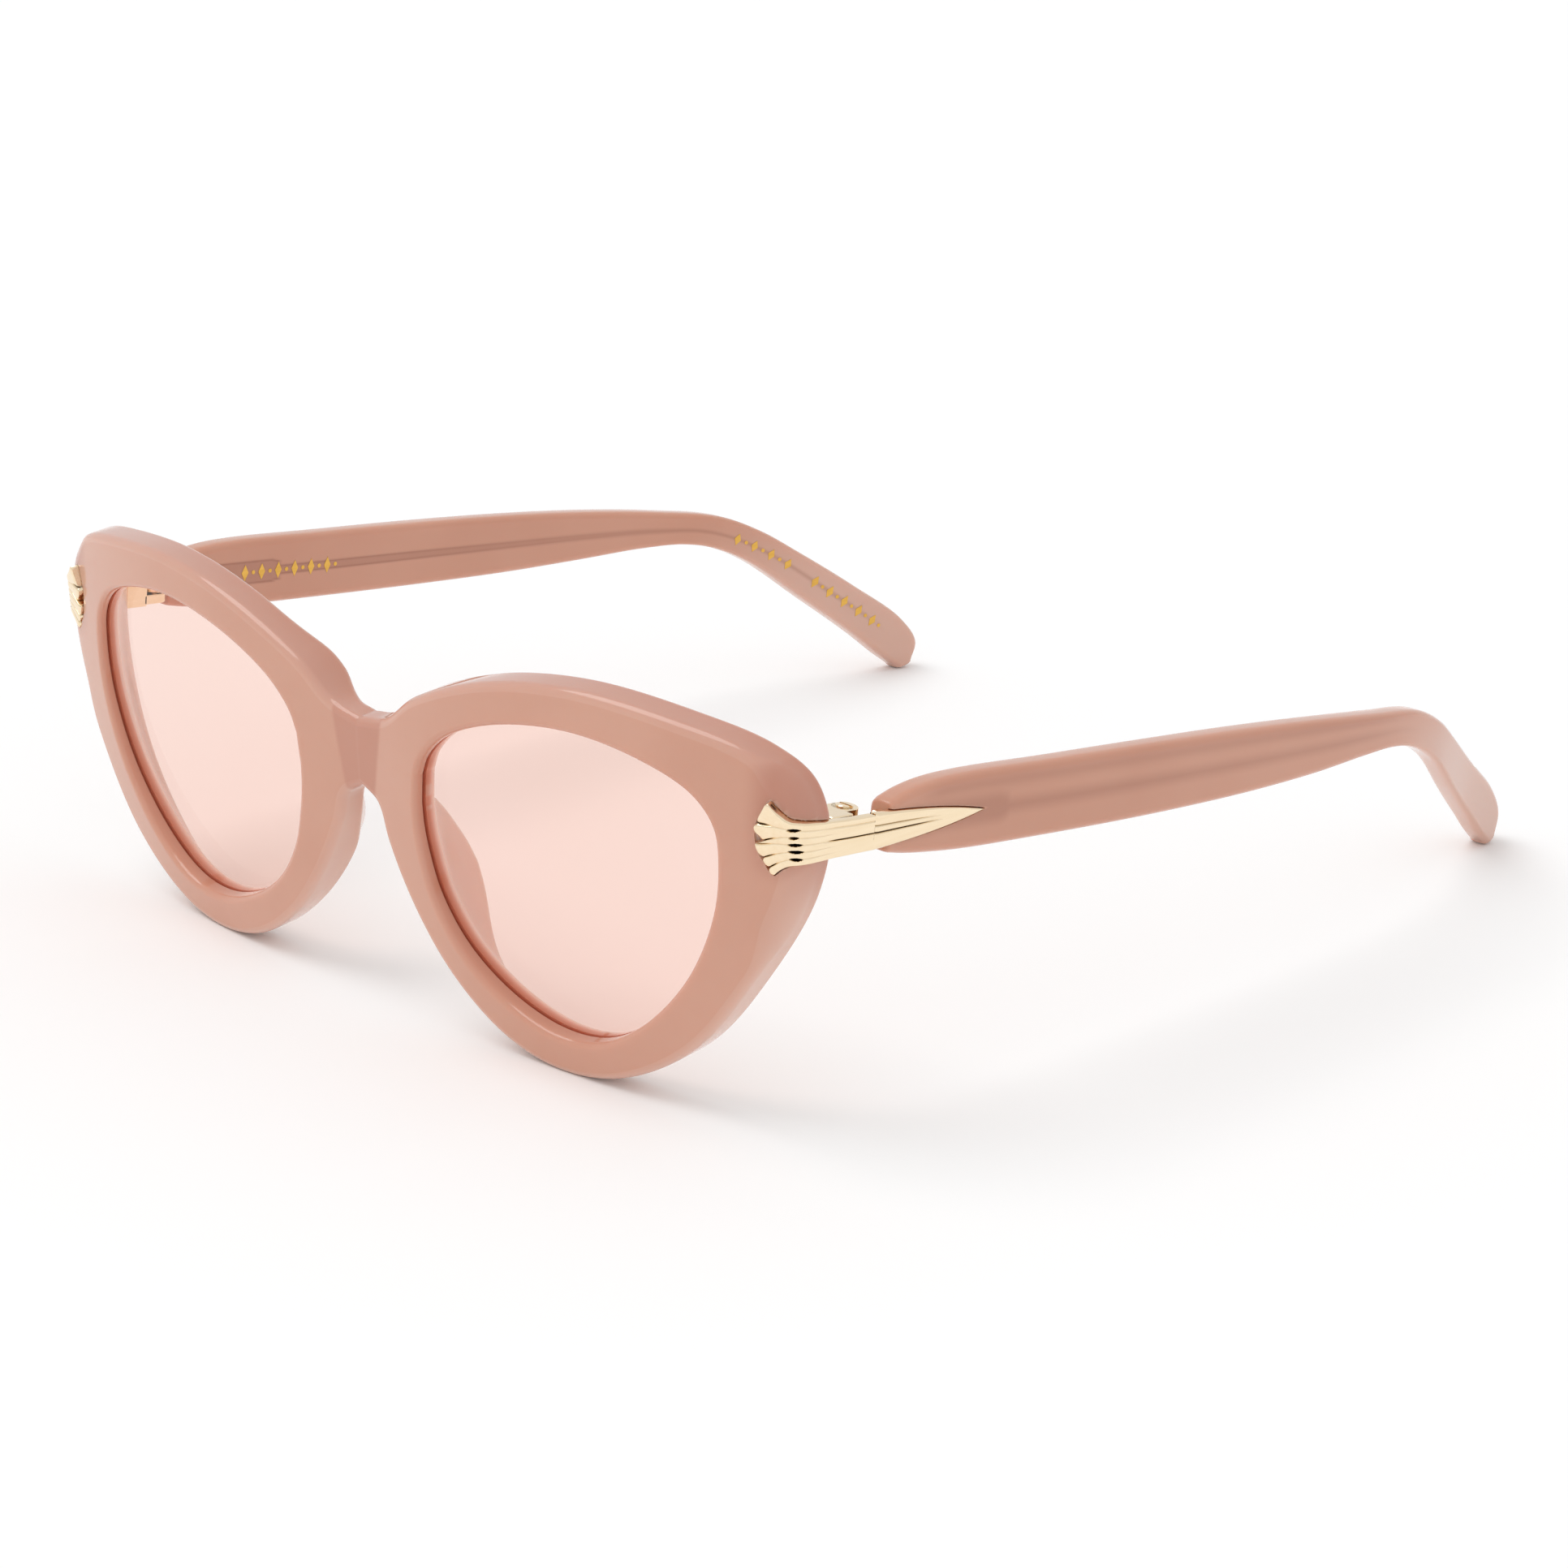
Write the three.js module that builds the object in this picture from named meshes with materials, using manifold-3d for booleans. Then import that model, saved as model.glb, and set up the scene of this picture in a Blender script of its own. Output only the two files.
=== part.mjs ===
// Cat eye sunglasses: an acetate front and two folding temples, with gold corner plaques and pin hinges.
// Millimetres, +Z up. The front faces -Y, the temples run back to +Y, +X is the wearer's left.
// The origin is on the surface that the glasses stand on, under the middle of their bounding box.
// The front is drawn in its own frame, which leans forward; each temple is drawn from its hinge pivot.
import * as THREE from "three";
import { mergeVertices } from "three/addons/utils/BufferGeometryUtils.js";
import Module from "manifold-3d";

const wasm = await Module();
wasm.setup();

// Where the front and the temples stand
const FRONT_LEAN = THREE.MathUtils.degToRad(7);
const FRONT_Y = -67.45;
const FRONT_Z = -2.6;
const TEMPLE_DROP = THREE.MathUtils.degToRad(4.8);
const PIVOT_X = 65;
const PIVOT_Y = -61.05;
const PIVOT_Z = 36.5;
const CLEARANCE = 0.3;

// Front: the face bends round both ways about each eye, and dips in a soft valley at the bridge
const FACE_RADIUS_X = 143;
const FACE_RADIUS_Z = 193;
const FACE_CENTRE_X = 20.7;
const FACE_CENTRE_Z = 20.6;
const FACE_APEX_Y = -8.6;
const VALLEY_HALF_WIDTH = 4;
const RIM_THICKNESS = 4.8;
const BROW_EXTRA = 1;
const BROW_EXTRA_X = 9;
const BROW_EXTRA_SPREAD = 5;
const BRIDGE_THICKNESS = 3.8;
const BRIDGE_THICK_FROM_X = 2;
const BRIDGE_THICK_TO_X = 8;
const EDGE_ROUND = 1.0;
const REAR_ROUND = 0.9;
const OUTLINE_STEPS = 52;
const BRIDGE_STEPS = 8;

// Lens surface: a sphere. The groove and the rear lip of the rim are measured back from it.
const LENS_RADIUS = 145;
const LENS_CENTRE_X = 20.5;
const LENS_CENTRE_Z = 26;
const LENS_APEX_Y = -7.3;
const GROOVE_WIDTH = 2.0;
const GROOVE_DEPTH = 0.9;
const REAR_LIP = 2.7;

// Each row pairs a point of the lens opening with a point of the outer outline, [x, z, x, z],
// from the middle of the bridge's top edge, over the brow, round the lens, to the bridge's bottom edge
const RIM_PAIRS = [
  [11.6, 36.4, 0.0, 40.8],
  [12.9, 39.0, 4.8, 41.8],
  [16.7, 42.4, 11.0, 46.0],
  [25.5, 46.0, 24.3, 51.0],
  [37.2, 47.7, 38.1, 52.9],
  [47.4, 46.5, 52.3, 51.8],
  [54.9, 43.6, 62.4, 49.5],
  [57.8, 40.2, 67.5, 46.2],
  [58.4, 35.8, 69.4, 40.3],
  [57.6, 29.5, 67.9, 32.2],
  [53.7, 20.9, 61.8, 21.4],
  [46.5, 13.0, 53.3, 11.2],
  [39.5, 9.0, 42.4, 4.8],
  [32.5, 8.4, 32.9, 3.25],
  [24.5, 10.8, 23.8, 5.3],
  [17.6, 15.4, 15.0, 11.2],
  [13.5, 21.1, 8.6, 18.9],
  [11.8, 26.5, 4.6, 26.0],
  [11.25, 29.8, 3.0, 30.2],
  [11.15, 32.5, 0.0, 32.0],
];

// Lenses and nose pads
const LENS_THICKNESS = 1.4;
const LENS_BITE = 0.55;
const LENS_RINGS = 3;
const LENS_STEPS = 44;
const PAD_HEIGHT = 18;
const PAD_WIDTH = 4.6;
const PAD_PROJECTION = 3.8;
const PAD_SPLAY = 1.2;
const PAD_FOOT_X = 9.9;
const PAD_FOOT_Z = 22.5;
const PAD_TILT = THREE.MathUtils.degToRad(27);

// Gold plaques and pins
const PLAQUE_THICKNESS = 1.1;
const PLAQUE_SINK = 0.5;
const PLAQUE_SIDE_X = 70;
const PLAQUE_CORNER_RADIUS = 4;
const PLAQUE_FACE_TURN = 18;
const PLAQUE_SEAM_Y = 11.1;
const PLAQUE_SEAM_Z = 37.8;
// How far the front plaque reaches down and up from its middle line: [x, down, up] over the fan,
// [share of the corner, down, up] round the corner, and [y, down, up] along the side to the seam
const FAN_STATIONS = [
  [63.8, -1.0, 1.7],
  [64.4, -1.8, 3.0],
  [65.0, -2.8, 4.1],
  [65.7, -3.6, 4.8],
  [66.5, -3.0, 4.1],
];
const CORNER_STATIONS = [
  [0, -2.5, 3.5],
  [0.25, -2.3, 2.95],
  [0.5, -2.1, 2.8],
  [0.75, -1.95, 2.75],
  [1, -1.8, 2.7],
];
const SIDE_STATIONS = [
  [4.5, -1.7, 2.65],
  [8, -1.8, 2.4],
  [PLAQUE_SEAM_Y, -1.9, 2.2],
];
const PIN_RADIUS = 0.45;
const PIN_SIDES = 12;
const FAN_PINS = { lower: 36.9, upper: 42.5 };
const FAN_PIN_X = 65.3;
const FAN_PIN_LENGTH = 1.4;
const FAN_PIN_DEPTH = PLAQUE_SINK + 2 * CLEARANCE + 0.15;

// Temples
const TEMPLE_THICKNESS = 3.5;
const TEMPLE_EDGE_ROUND = 1.0;
const TEMPLE_STEPS = 44;
// Upper and lower edge of the temple, [along, up, along, up] from the pivot
const TEMPLE_PAIRS = [
  [3.2, 2.8, 3.2, -3.2],
  [6.2, 3.8, 6.2, -3.7],
  [10, 4.5, 10, -4.1],
  [16, 4.8, 16, -4.5],
  [30, 4.6, 30, -4.75],
  [48, 4.35, 48, -4.85],
  [66, 3.9, 66, -4.65],
  [82, 3.15, 81, -4.05],
  [96, 2.1, 93, -3.3],
  [107, 0.85, 100.5, -3.2],
  [114.4, -1.7, 106.2, -4.1],
  [121.2, -5.3, 113.3, -6.9],
  [130.8, -10.8, 123.2, -13.3],
  [140, -16.5, 132.2, -19.2],
  [143.2, -20.4, 136.7, -22.4],
  [142.6, -23.3, 139.8, -24.35],
];
// Outer face of the temple in plan: [along, x]
const TEMPLE_PLAN = [
  [0, 69.4],
  [55, 70.5],
  [92, 69.7],
  [112, 66.6],
  [130, 61.1],
  [146, 57.4],
];

// Hinge
const KNUCKLE_RADIUS = 1.65;
const KNUCKLE_TOP = 1.85;
const KNUCKLE_SLOT = 0.6;
const BORE_RADIUS = 0.85;
const SCREW_RADIUS = 0.55;
const SCREW_HEAD_RADIUS = 0.95;
const SCREW_HEAD_HEIGHT = 0.5;
const SCREW_HEAD_RECESS = 0.65;
const SCREW_SLOT_WIDTH = 0.4;
const HINGE_SIDES = 20;
const LEAF_HALF_HEIGHT = 2.1;
const LEAF_REAR = -2.15;
const LEAF_FRONT = -5.6;
const TONGUE_LENGTH = 2.4;
const TONGUE_HALF_HEIGHT = 1.4;
const SHOE_WIDTH = 3.3;
const SHOE_THICKNESS = 1.1;
const SHOE_LENGTH = 23;
const WIRE_WIDTH = 1.4;
const WIRE_THICKNESS = 1.1;
const WIRE_START = 0.24;
const WIRE_END = 0.93;
const SHOE_X = TEMPLE_PLAN[0][1] - TEMPLE_THICKNESS / 2;
const RIVET_PLACES = { front: 6, rear: 11.5 };
const STUD_HEIGHT = 1;
const STUD_ALONG = (LEAF_FRONT + LEAF_REAR) / 2;
const LEAF_SIDE_X = PLAQUE_SIDE_X - PLAQUE_THICKNESS - CLEARANCE;

const acetate = new THREE.MeshStandardMaterial({ color: 0xd3a08c, roughness: 0.2, metalness: 0 });
const tint = new THREE.MeshStandardMaterial({
  color: 0xfbded3, roughness: 0.05, metalness: 0, transparent: true, opacity: 0.4,
});
const gold = new THREE.MeshStandardMaterial({ color: 0xf3d9ae, roughness: 0.15, metalness: 1 });
const steel = new THREE.MeshStandardMaterial({ color: 0xb9b4ad, roughness: 0.35, metalness: 1 });

// ---- mesh helpers ----

function geometryOf(points, triangles) {
  const geometry = new THREE.BufferGeometry();
  const flat = points.flatMap((p) => [p.x, p.y, p.z]);
  geometry.setAttribute("position", new THREE.Float32BufferAttribute(flat, 3));
  geometry.setIndex(triangles.flat());
  return geometry;
}

// Joins equal loops of points into a skin: round and round when closed, with two end caps when not
function loft(loops, closed) {
  const across = loops[0].length;
  const points = loops.flat();
  const triangles = [];
  const spans = closed ? loops.length : loops.length - 1;
  for (let i = 0; i < spans; i += 1) {
    const here = i * across;
    const next = ((i + 1) % loops.length) * across;
    for (let j = 0; j < across; j += 1) {
      const k = (j + 1) % across;
      triangles.push([here + j, next + j, next + k], [here + j, next + k, here + k]);
    }
  }
  if (!closed) {
    const last = (loops.length - 1) * across;
    for (const [start, flip] of [[0, false], [last, true]]) {
      const middle = points.length;
      const centre = new THREE.Vector3();
      for (let j = 0; j < across; j += 1) centre.addScaledVector(points[start + j], 1 / across);
      points.push(centre);
      for (let j = 0; j < across; j += 1) {
        const k = (j + 1) % across;
        triangles.push(flip ? [middle, start + k, start + j] : [middle, start + j, start + k]);
      }
    }
  }
  return facingOut(geometryOf(points, triangles));
}

function facingOut(geometry) {
  const position = geometry.getAttribute("position");
  const index = geometry.getIndex();
  const [a, b, c] = [new THREE.Vector3(), new THREE.Vector3(), new THREE.Vector3()];
  let volume = 0;
  for (let i = 0; i < index.count; i += 3) {
    a.fromBufferAttribute(position, index.getX(i));
    b.fromBufferAttribute(position, index.getX(i + 1));
    c.fromBufferAttribute(position, index.getX(i + 2));
    volume += a.dot(b.cross(c));
  }
  return volume < 0 ? turnedInsideOut(geometry) : geometry;
}

function turnedInsideOut(geometry) {
  const index = Array.from(geometry.getIndex().array);
  for (let i = 0; i < index.length; i += 3) {
    [index[i + 1], index[i + 2]] = [index[i + 2], index[i + 1]];
  }
  geometry.setIndex(index);
  return geometry;
}

function mirrored(geometry) {
  return turnedInsideOut(geometry.clone().scale(-1, 1, 1));
}

function welded(geometry) {
  const plain = geometry.clone();
  plain.deleteAttribute("normal");
  plain.deleteAttribute("uv");
  return mergeVertices(plain, 1e-4);
}

function solid(geometry) {
  const merged = welded(geometry);
  const mesh = new wasm.Mesh({
    numProp: 3,
    vertProperties: new Float32Array(merged.getAttribute("position").array),
    triVerts: new Uint32Array(merged.getIndex().array),
  });
  mesh.merge();
  return new wasm.Manifold(mesh);
}

function geometryFrom(manifold) {
  const mesh = manifold.getMesh();
  const geometry = new THREE.BufferGeometry();
  geometry.setAttribute("position", new THREE.BufferAttribute(mesh.vertProperties, 3));
  geometry.setIndex(Array.from(mesh.triVerts));
  return geometry;
}

function box(x0, x1, y0, y1, z0, z1) {
  const geometry = new THREE.BoxGeometry(x1 - x0, y1 - y0, z1 - z0);
  return geometry.translate((x0 + x1) / 2, (y0 + y1) / 2, (z0 + z1) / 2);
}

// A round bar along x, y or z, from its centre at one end
function bar(axis, radius, length, from, sides) {
  const geometry = new THREE.CylinderGeometry(radius, radius, length, sides);
  geometry.translate(0, length / 2, 0);
  if (axis === "x") geometry.rotateZ(-Math.PI / 2);
  if (axis === "z") geometry.rotateX(Math.PI / 2);
  return geometry.translate(...from);
}

function splineThrough(pairs, first) {
  return new THREE.CatmullRomCurve3(
    pairs.map((row) => new THREE.Vector3(row[first], 0, row[first + 1])), false, "centripetal");
}

const smooth = (t) => THREE.MathUtils.smoothstep(t, 0, 1);

// ---- the front's face ----

// Distance from the middle plane, rounded off where the two spheres would meet in a crease
function softX(x) {
  return Math.hypot(x, VALLEY_HALF_WIDTH);
}

function faceY(x, z) {
  const across = softX(x) - FACE_CENTRE_X;
  const up = z - FACE_CENTRE_Z;
  return FACE_APEX_Y + (across * across) / (2 * FACE_RADIUS_X) + (up * up) / (2 * FACE_RADIUS_Z);
}

function lensY(x, z) {
  const away = Math.hypot(x - LENS_CENTRE_X, z - LENS_CENTRE_Z);
  return LENS_APEX_Y + (away * away) / (2 * LENS_RADIUS);
}

function thicknessAt(x) {
  const t = (Math.abs(x) - BRIDGE_THICK_FROM_X) / (BRIDGE_THICK_TO_X - BRIDGE_THICK_FROM_X);
  const fromBrow = (Math.abs(x) - BROW_EXTRA_X) / BROW_EXTRA_SPREAD;
  const rim = RIM_THICKNESS + BROW_EXTRA * Math.exp(-fromBrow * fromBrow);
  return THREE.MathUtils.lerp(BRIDGE_THICKNESS, rim, smooth(t));
}

// ---- the front ----

// Stations round one rim: a point of the opening, a point of the outline, and the way into the acetate at each
function rimStations() {
  const opening = splineThrough(RIM_PAIRS, 0);
  const outline = splineThrough(RIM_PAIRS, 2);
  const last = RIM_PAIRS.length - 1;
  const stations = [];
  for (let i = 0; i <= OUTLINE_STEPS; i += 1) {
    const t = i / OUTLINE_STEPS;
    stations.push({
      inner: opening.getPoint(t),
      outer: outline.getPoint(t),
      innerIn: leftOf(opening.getTangent(t)),
      outerIn: rightOf(outline.getTangent(t)),
      onOutline: true,
    });
  }
  const [bottom, top] = [RIM_PAIRS[last], RIM_PAIRS[0]];
  for (let i = 1; i < BRIDGE_STEPS; i += 1) {
    const t = i / BRIDGE_STEPS;
    const inner = new THREE.Vector3(
      THREE.MathUtils.lerp(bottom[0], top[0], t), 0, THREE.MathUtils.lerp(bottom[1], top[1], t));
    const outer = new THREE.Vector3(0, 0, THREE.MathUtils.lerp(bottom[3], top[3], t));
    stations.push({ inner, outer, innerIn: new THREE.Vector3(-1, 0, 0), outerIn: null, onOutline: false });
  }
  stations[0].outerIn.set(0, 0, -1);
  stations[OUTLINE_STEPS].outerIn.set(0, 0, 1);
  return stations;
}

function leftOf(tangent) {
  return new THREE.Vector3(-tangent.z, 0, tangent.x).normalize();
}

function rightOf(tangent) {
  return leftOf(tangent).negate();
}

function rimSection({ inner, outer, innerIn, outerIn, onOutline }) {
  const behindFace = (p, depth) => new THREE.Vector3(p.x, faceY(p.x, p.z) + depth, p.z);
  const behindLens = (p, depth) => new THREE.Vector3(p.x, lensY(p.x, p.z) + depth, p.z);
  const nearOpening = (inset) => inner.clone().addScaledVector(innerIn, inset);
  const nearOutline = (inset) => (onOutline ? outer.clone().addScaledVector(outerIn, inset) : outer);
  const thickness = thicknessAt(outer.x);
  const lip = behindLens(nearOpening(REAR_ROUND / 2), REAR_LIP);
  const back = behindFace(nearOutline(REAR_ROUND), thickness);
  const faceEdge = behindFace(nearOutline(EDGE_ROUND), 0);
  const openingEdge = behindFace(nearOpening(EDGE_ROUND), 0);
  const onFace = (t) => {
    const p = openingEdge.clone().lerp(faceEdge, t);
    return behindFace(p, 0);
  };
  return [
    openingEdge,
    behindFace(nearOpening(EDGE_ROUND * 0.3), EDGE_ROUND * 0.3),
    behindFace(nearOpening(0), EDGE_ROUND),
    behindLens(nearOpening(0), 0),
    behindLens(nearOpening(GROOVE_DEPTH), 0.1),
    behindLens(nearOpening(GROOVE_DEPTH), GROOVE_WIDTH - 0.1),
    behindLens(nearOpening(0), GROOVE_WIDTH),
    behindLens(nearOpening(0), REAR_LIP - REAR_ROUND / 3),
    lip,
    lip.clone().lerp(back, 0.5),
    back,
    behindFace(nearOutline(0), thickness - REAR_ROUND),
    behindFace(nearOutline(0), EDGE_ROUND),
    behindFace(nearOutline(EDGE_ROUND * 0.3), EDGE_ROUND * 0.3),
    faceEdge,
    onFace(0.66),
    onFace(0.33),
  ];
}

// One rim and half of the bridge, open where it meets its mirror image in the middle plane
function halfFront() {
  const loops = rimStations().map(rimSection);
  const across = loops[0].length;
  const points = loops.flat();
  const triangles = [];
  const inMiddle = (i) => Math.abs(points[i].x) < 1e-6;
  for (let i = 0; i < loops.length; i += 1) {
    const here = i * across;
    const next = ((i + 1) % loops.length) * across;
    for (let j = 0; j < across; j += 1) {
      const k = (j + 1) % across;
      const corners = [here + j, next + j, next + k, here + k];
      if (corners.every(inMiddle)) continue;
      triangles.push([corners[0], corners[1], corners[2]], [corners[0], corners[2], corners[3]]);
    }
  }
  return { points, triangles };
}

function wholeFront() {
  const { points, triangles } = halfFront();
  const count = points.length;
  const other = points.map((p) => new THREE.Vector3(-p.x, p.y, p.z));
  const turned = triangles.map(([a, b, c]) => [count + a, count + c, count + b]);
  return facingOut(welded(geometryOf([...points, ...other], [...triangles, ...turned])));
}

function frontFrame(cutters) {
  let body = solid(wholeFront());
  for (const cutter of cutters) body = body.subtract(solid(cutter)).subtract(solid(mirrored(cutter)));
  return geometryFrom(body);
}

// The level flat that the rims stand on, as a block to take away in the front's own frame
function floorCutter() {
  const block = box(0.5, 80, FRONT_Y - 40, FRONT_Y + 40, -20, 0);
  block.translate(0, -FRONT_Y, -FRONT_Z);
  return block.rotateX(-FRONT_LEAN);
}

// ---- lenses and pads ----

function lens() {
  const opening = splineThrough([...RIM_PAIRS, RIM_PAIRS[0]], 0);
  const centre = new THREE.Vector3(34, 0, 29);
  const front = (GROOVE_WIDTH - LENS_THICKNESS) / 2;
  const edge = [];
  for (let i = 0; i < LENS_STEPS; i += 1) {
    const t = i / LENS_STEPS;
    edge.push(opening.getPoint(t).addScaledVector(leftOf(opening.getTangent(t)), LENS_BITE));
  }
  const ring = (share, depth) => edge.map((p) => {
    const q = centre.clone().lerp(p, share);
    return new THREE.Vector3(q.x, lensY(q.x, q.z) + depth, q.z);
  });
  const loops = [];
  for (let i = 1; i <= LENS_RINGS; i += 1) loops.push(ring(i / LENS_RINGS, front));
  for (let i = LENS_RINGS; i >= 1; i -= 1) loops.push(ring(i / LENS_RINGS, front + LENS_THICKNESS));
  return loft(loops, false);
}

// An oval pad behind the nasal side of the rim, which leans away from the nose towards its rear
function nosePad() {
  const foot = new THREE.Vector3(PAD_FOOT_X, 0, PAD_FOOT_Z);
  const sections = [[0, 1], [0.45, 0.96], [0.8, 0.8], [1, 0.45]];
  const loops = sections.map(([rise, size]) => {
    const loop = [];
    for (let i = 0; i < 24; i += 1) {
      const angle = (i / 24) * 2 * Math.PI;
      const across = (Math.cos(angle) * PAD_WIDTH * size) / 2;
      const up = (Math.sin(angle) * PAD_HEIGHT * size) / 2;
      const x = foot.x + across * Math.cos(PAD_TILT) - up * Math.sin(PAD_TILT) + PAD_SPLAY * rise;
      const z = foot.z + across * Math.sin(PAD_TILT) + up * Math.cos(PAD_TILT);
      const seat = faceY(x, z) + thicknessAt(x) + CLEARANCE;
      const crown = faceY(foot.x, foot.z) + RIM_THICKNESS + PAD_PROJECTION;
      loop.push(new THREE.Vector3(x, THREE.MathUtils.lerp(seat, crown, rise), z));
    }
    return loop;
  });
  return loft(loops, false);
}

// ---- plaques ----

// Plan of the front plaque's outer face: along the front's face, round the corner, back to the seam.
// Each station gives the place, the way out of the plaque, and how far it reaches down and up there.
function plaqueStations() {
  const slope = FRONT_LEAN + TEMPLE_DROP;
  const middleZ = (y) => PLAQUE_SEAM_Z + (PLAQUE_SEAM_Y - y) * 0.17;
  const proud = PLAQUE_THICKNESS - PLAQUE_SINK;
  const faceTurn = THREE.MathUtils.degToRad(PLAQUE_FACE_TURN);
  const outAt = (angle) => new THREE.Vector3(Math.sin(angle), -Math.cos(angle), 0);
  const stations = [];
  for (const [x, low, high] of FAN_STATIONS) {
    const at = new THREE.Vector3(x, faceY(x, 39.7) - proud, 39.7);
    stations.push({ at, out: outAt(faceTurn), low, high });
  }
  const cornerX = PLAQUE_SIDE_X - PLAQUE_CORNER_RADIUS;
  const cornerFrom = cornerX + PLAQUE_CORNER_RADIUS * Math.sin(faceTurn);
  const cornerY = faceY(cornerFrom, 39.7) - proud + PLAQUE_CORNER_RADIUS * Math.cos(faceTurn);
  for (const [share, low, high] of CORNER_STATIONS) {
    const out = outAt(THREE.MathUtils.lerp(faceTurn, Math.PI / 2, share));
    const at = new THREE.Vector3(cornerX, cornerY, 0).addScaledVector(out, PLAQUE_CORNER_RADIUS);
    at.z = THREE.MathUtils.lerp(39.7, middleZ(at.y), share);
    stations.push({ at, out, low, high });
  }
  for (const [y, low, high] of SIDE_STATIONS) {
    const at = new THREE.Vector3(PLAQUE_SIDE_X, y, middleZ(y));
    stations.push({ at, out: new THREE.Vector3(1, 0, 0), low, high });
  }
  for (const [i, station] of stations.entries()) {
    const turn = slope * smooth((i - FAN_STATIONS.length) / (CORNER_STATIONS.length - 1));
    station.up = new THREE.Vector3(0, Math.sin(turn), Math.cos(turn));
  }
  return stations;
}

function ribbon(stations, outset, thickness, grow) {
  const loops = stations.map(({ at, out, up, low, high }) => {
    const outer = at.clone().addScaledVector(out, outset);
    const inner = at.clone().addScaledVector(out, -thickness);
    return [
      outer.clone().addScaledVector(up, low - grow),
      outer.clone().addScaledVector(up, high + grow),
      inner.clone().addScaledVector(up, high + grow),
      inner.clone().addScaledVector(up, low - grow),
    ];
  });
  return loft(loops, false);
}

function frontPlaque() {
  return ribbon(plaqueStations(), 0, PLAQUE_THICKNESS, 0);
}

// The shallow seat milled in the acetate for the front plaque
function frontPlaqueSeat() {
  const stations = plaqueStations();
  const first = stations[0];
  stations[0] = { ...first, at: first.at.clone().add(new THREE.Vector3(-CLEARANCE, 0, 0)) };
  return ribbon(stations, 1, PLAQUE_THICKNESS + CLEARANCE, CLEARANCE);
}

function spearShape(grow) {
  const shape = new THREE.Shape();
  const front = 0.3 - grow;
  shape.moveTo(front, -2.2 - grow);
  shape.quadraticCurveTo(11.5, -1.6 - grow, 18.5 + grow, 0.2);
  shape.quadraticCurveTo(11.5, 1.7 + grow, front, 2.05 + grow);
  shape.closePath();
  return shape;
}

// A flat plate in the temple's along-up plane, from one x to another
function plate(shape, x0, x1) {
  const geometry = new THREE.ExtrudeGeometry(shape, { depth: x1 - x0, bevelEnabled: false, curveSegments: 10 });
  const toPlate = new THREE.Matrix4().set(0, 0, 1, x0, 1, 0, 0, 0, 0, 1, 0, 0, 0, 0, 0, 1);
  return facingOut(welded(geometry.applyMatrix4(toPlate)));
}

function templePlaque() {
  return plate(spearShape(0), PLAQUE_SIDE_X - PLAQUE_THICKNESS, PLAQUE_SIDE_X);
}

function templePlaqueSeat() {
  return plate(spearShape(CLEARANCE), PLAQUE_SIDE_X - PLAQUE_THICKNESS - CLEARANCE, PLAQUE_SIDE_X + 2);
}

// ---- temples ----

function templeX(along) {
  const last = TEMPLE_PLAN.length - 1;
  const plan = new THREE.CatmullRomCurve3(
    TEMPLE_PLAN.map(([a, x]) => new THREE.Vector3(a, x, 0)), false, "centripetal");
  let low = 0;
  let high = 1;
  if (along >= TEMPLE_PLAN[last][0]) return TEMPLE_PLAN[last][1];
  for (let i = 0; i < 24; i += 1) {
    const middle = (low + high) / 2;
    if (plan.getPoint(middle).x < along) low = middle;
    else high = middle;
  }
  return plan.getPoint(low).y;
}

// A section across the temple, from its lower edge to its upper edge, with rounded corners
function templeSection(lower, upper, round) {
  const up = upper.clone().sub(lower);
  const height = up.length();
  up.normalize();
  const corner = Math.min(round, height / 2.2);
  const half = TEMPLE_THICKNESS / 2;
  const quarter = [0, 0.5, 1].map((t) => (t * Math.PI) / 2);
  const points = [];
  const corners = [[half - corner, corner, 0], [half - corner, height - corner, 1],
    [-(half - corner), height - corner, 2], [-(half - corner), corner, 3]];
  for (const [across, rise, turn] of corners) {
    for (const angle of quarter) {
      const a = angle + (turn - 1) * (Math.PI / 2);
      const sideways = across + corner * Math.cos(a);
      const upwards = rise + corner * Math.sin(a);
      const at = lower.clone().addScaledVector(up, upwards);
      points.push(new THREE.Vector3(templeX(at.x) - half + sideways, at.x, at.z));
    }
  }
  return points;
}

function templeBlank() {
  const upperEdge = splineThrough(TEMPLE_PAIRS, 0);
  const lowerEdge = splineThrough(TEMPLE_PAIRS, 2);
  const loops = [];
  for (let i = 0; i <= TEMPLE_STEPS; i += 1) {
    const t = i / TEMPLE_STEPS;
    loops.push(templeSection(lowerEdge.getPoint(t), upperEdge.getPoint(t), TEMPLE_EDGE_ROUND));
  }
  const [upper, lower] = [upperEdge.getPoint(1), lowerEdge.getPoint(1)];
  const out = new THREE.Vector3(upper.z - lower.z, 0, lower.x - upper.x).normalize();
  for (const [reach, share] of [[0.7, 0.8], [1.0, 0.45]]) {
    const middle = lower.clone().lerp(upper, 0.5).addScaledVector(out, reach);
    const low = middle.clone().addScaledVector(lower.clone().sub(upper), share / 2);
    const high = middle.clone().addScaledVector(upper.clone().sub(lower), share / 2);
    loops.push(templeSection(low, high, TEMPLE_EDGE_ROUND));
  }
  return loft(loops, false);
}

// Middle line of the temple, where the wire core lies
function templeMiddle(t) {
  const upper = splineThrough(TEMPLE_PAIRS, 0).getPoint(t);
  const lower = splineThrough(TEMPLE_PAIRS, 2).getPoint(t);
  const middle = upper.lerp(lower, 0.5);
  return new THREE.Vector3(templeX(middle.x) - TEMPLE_THICKNESS / 2, middle.x, middle.z);
}

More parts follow.
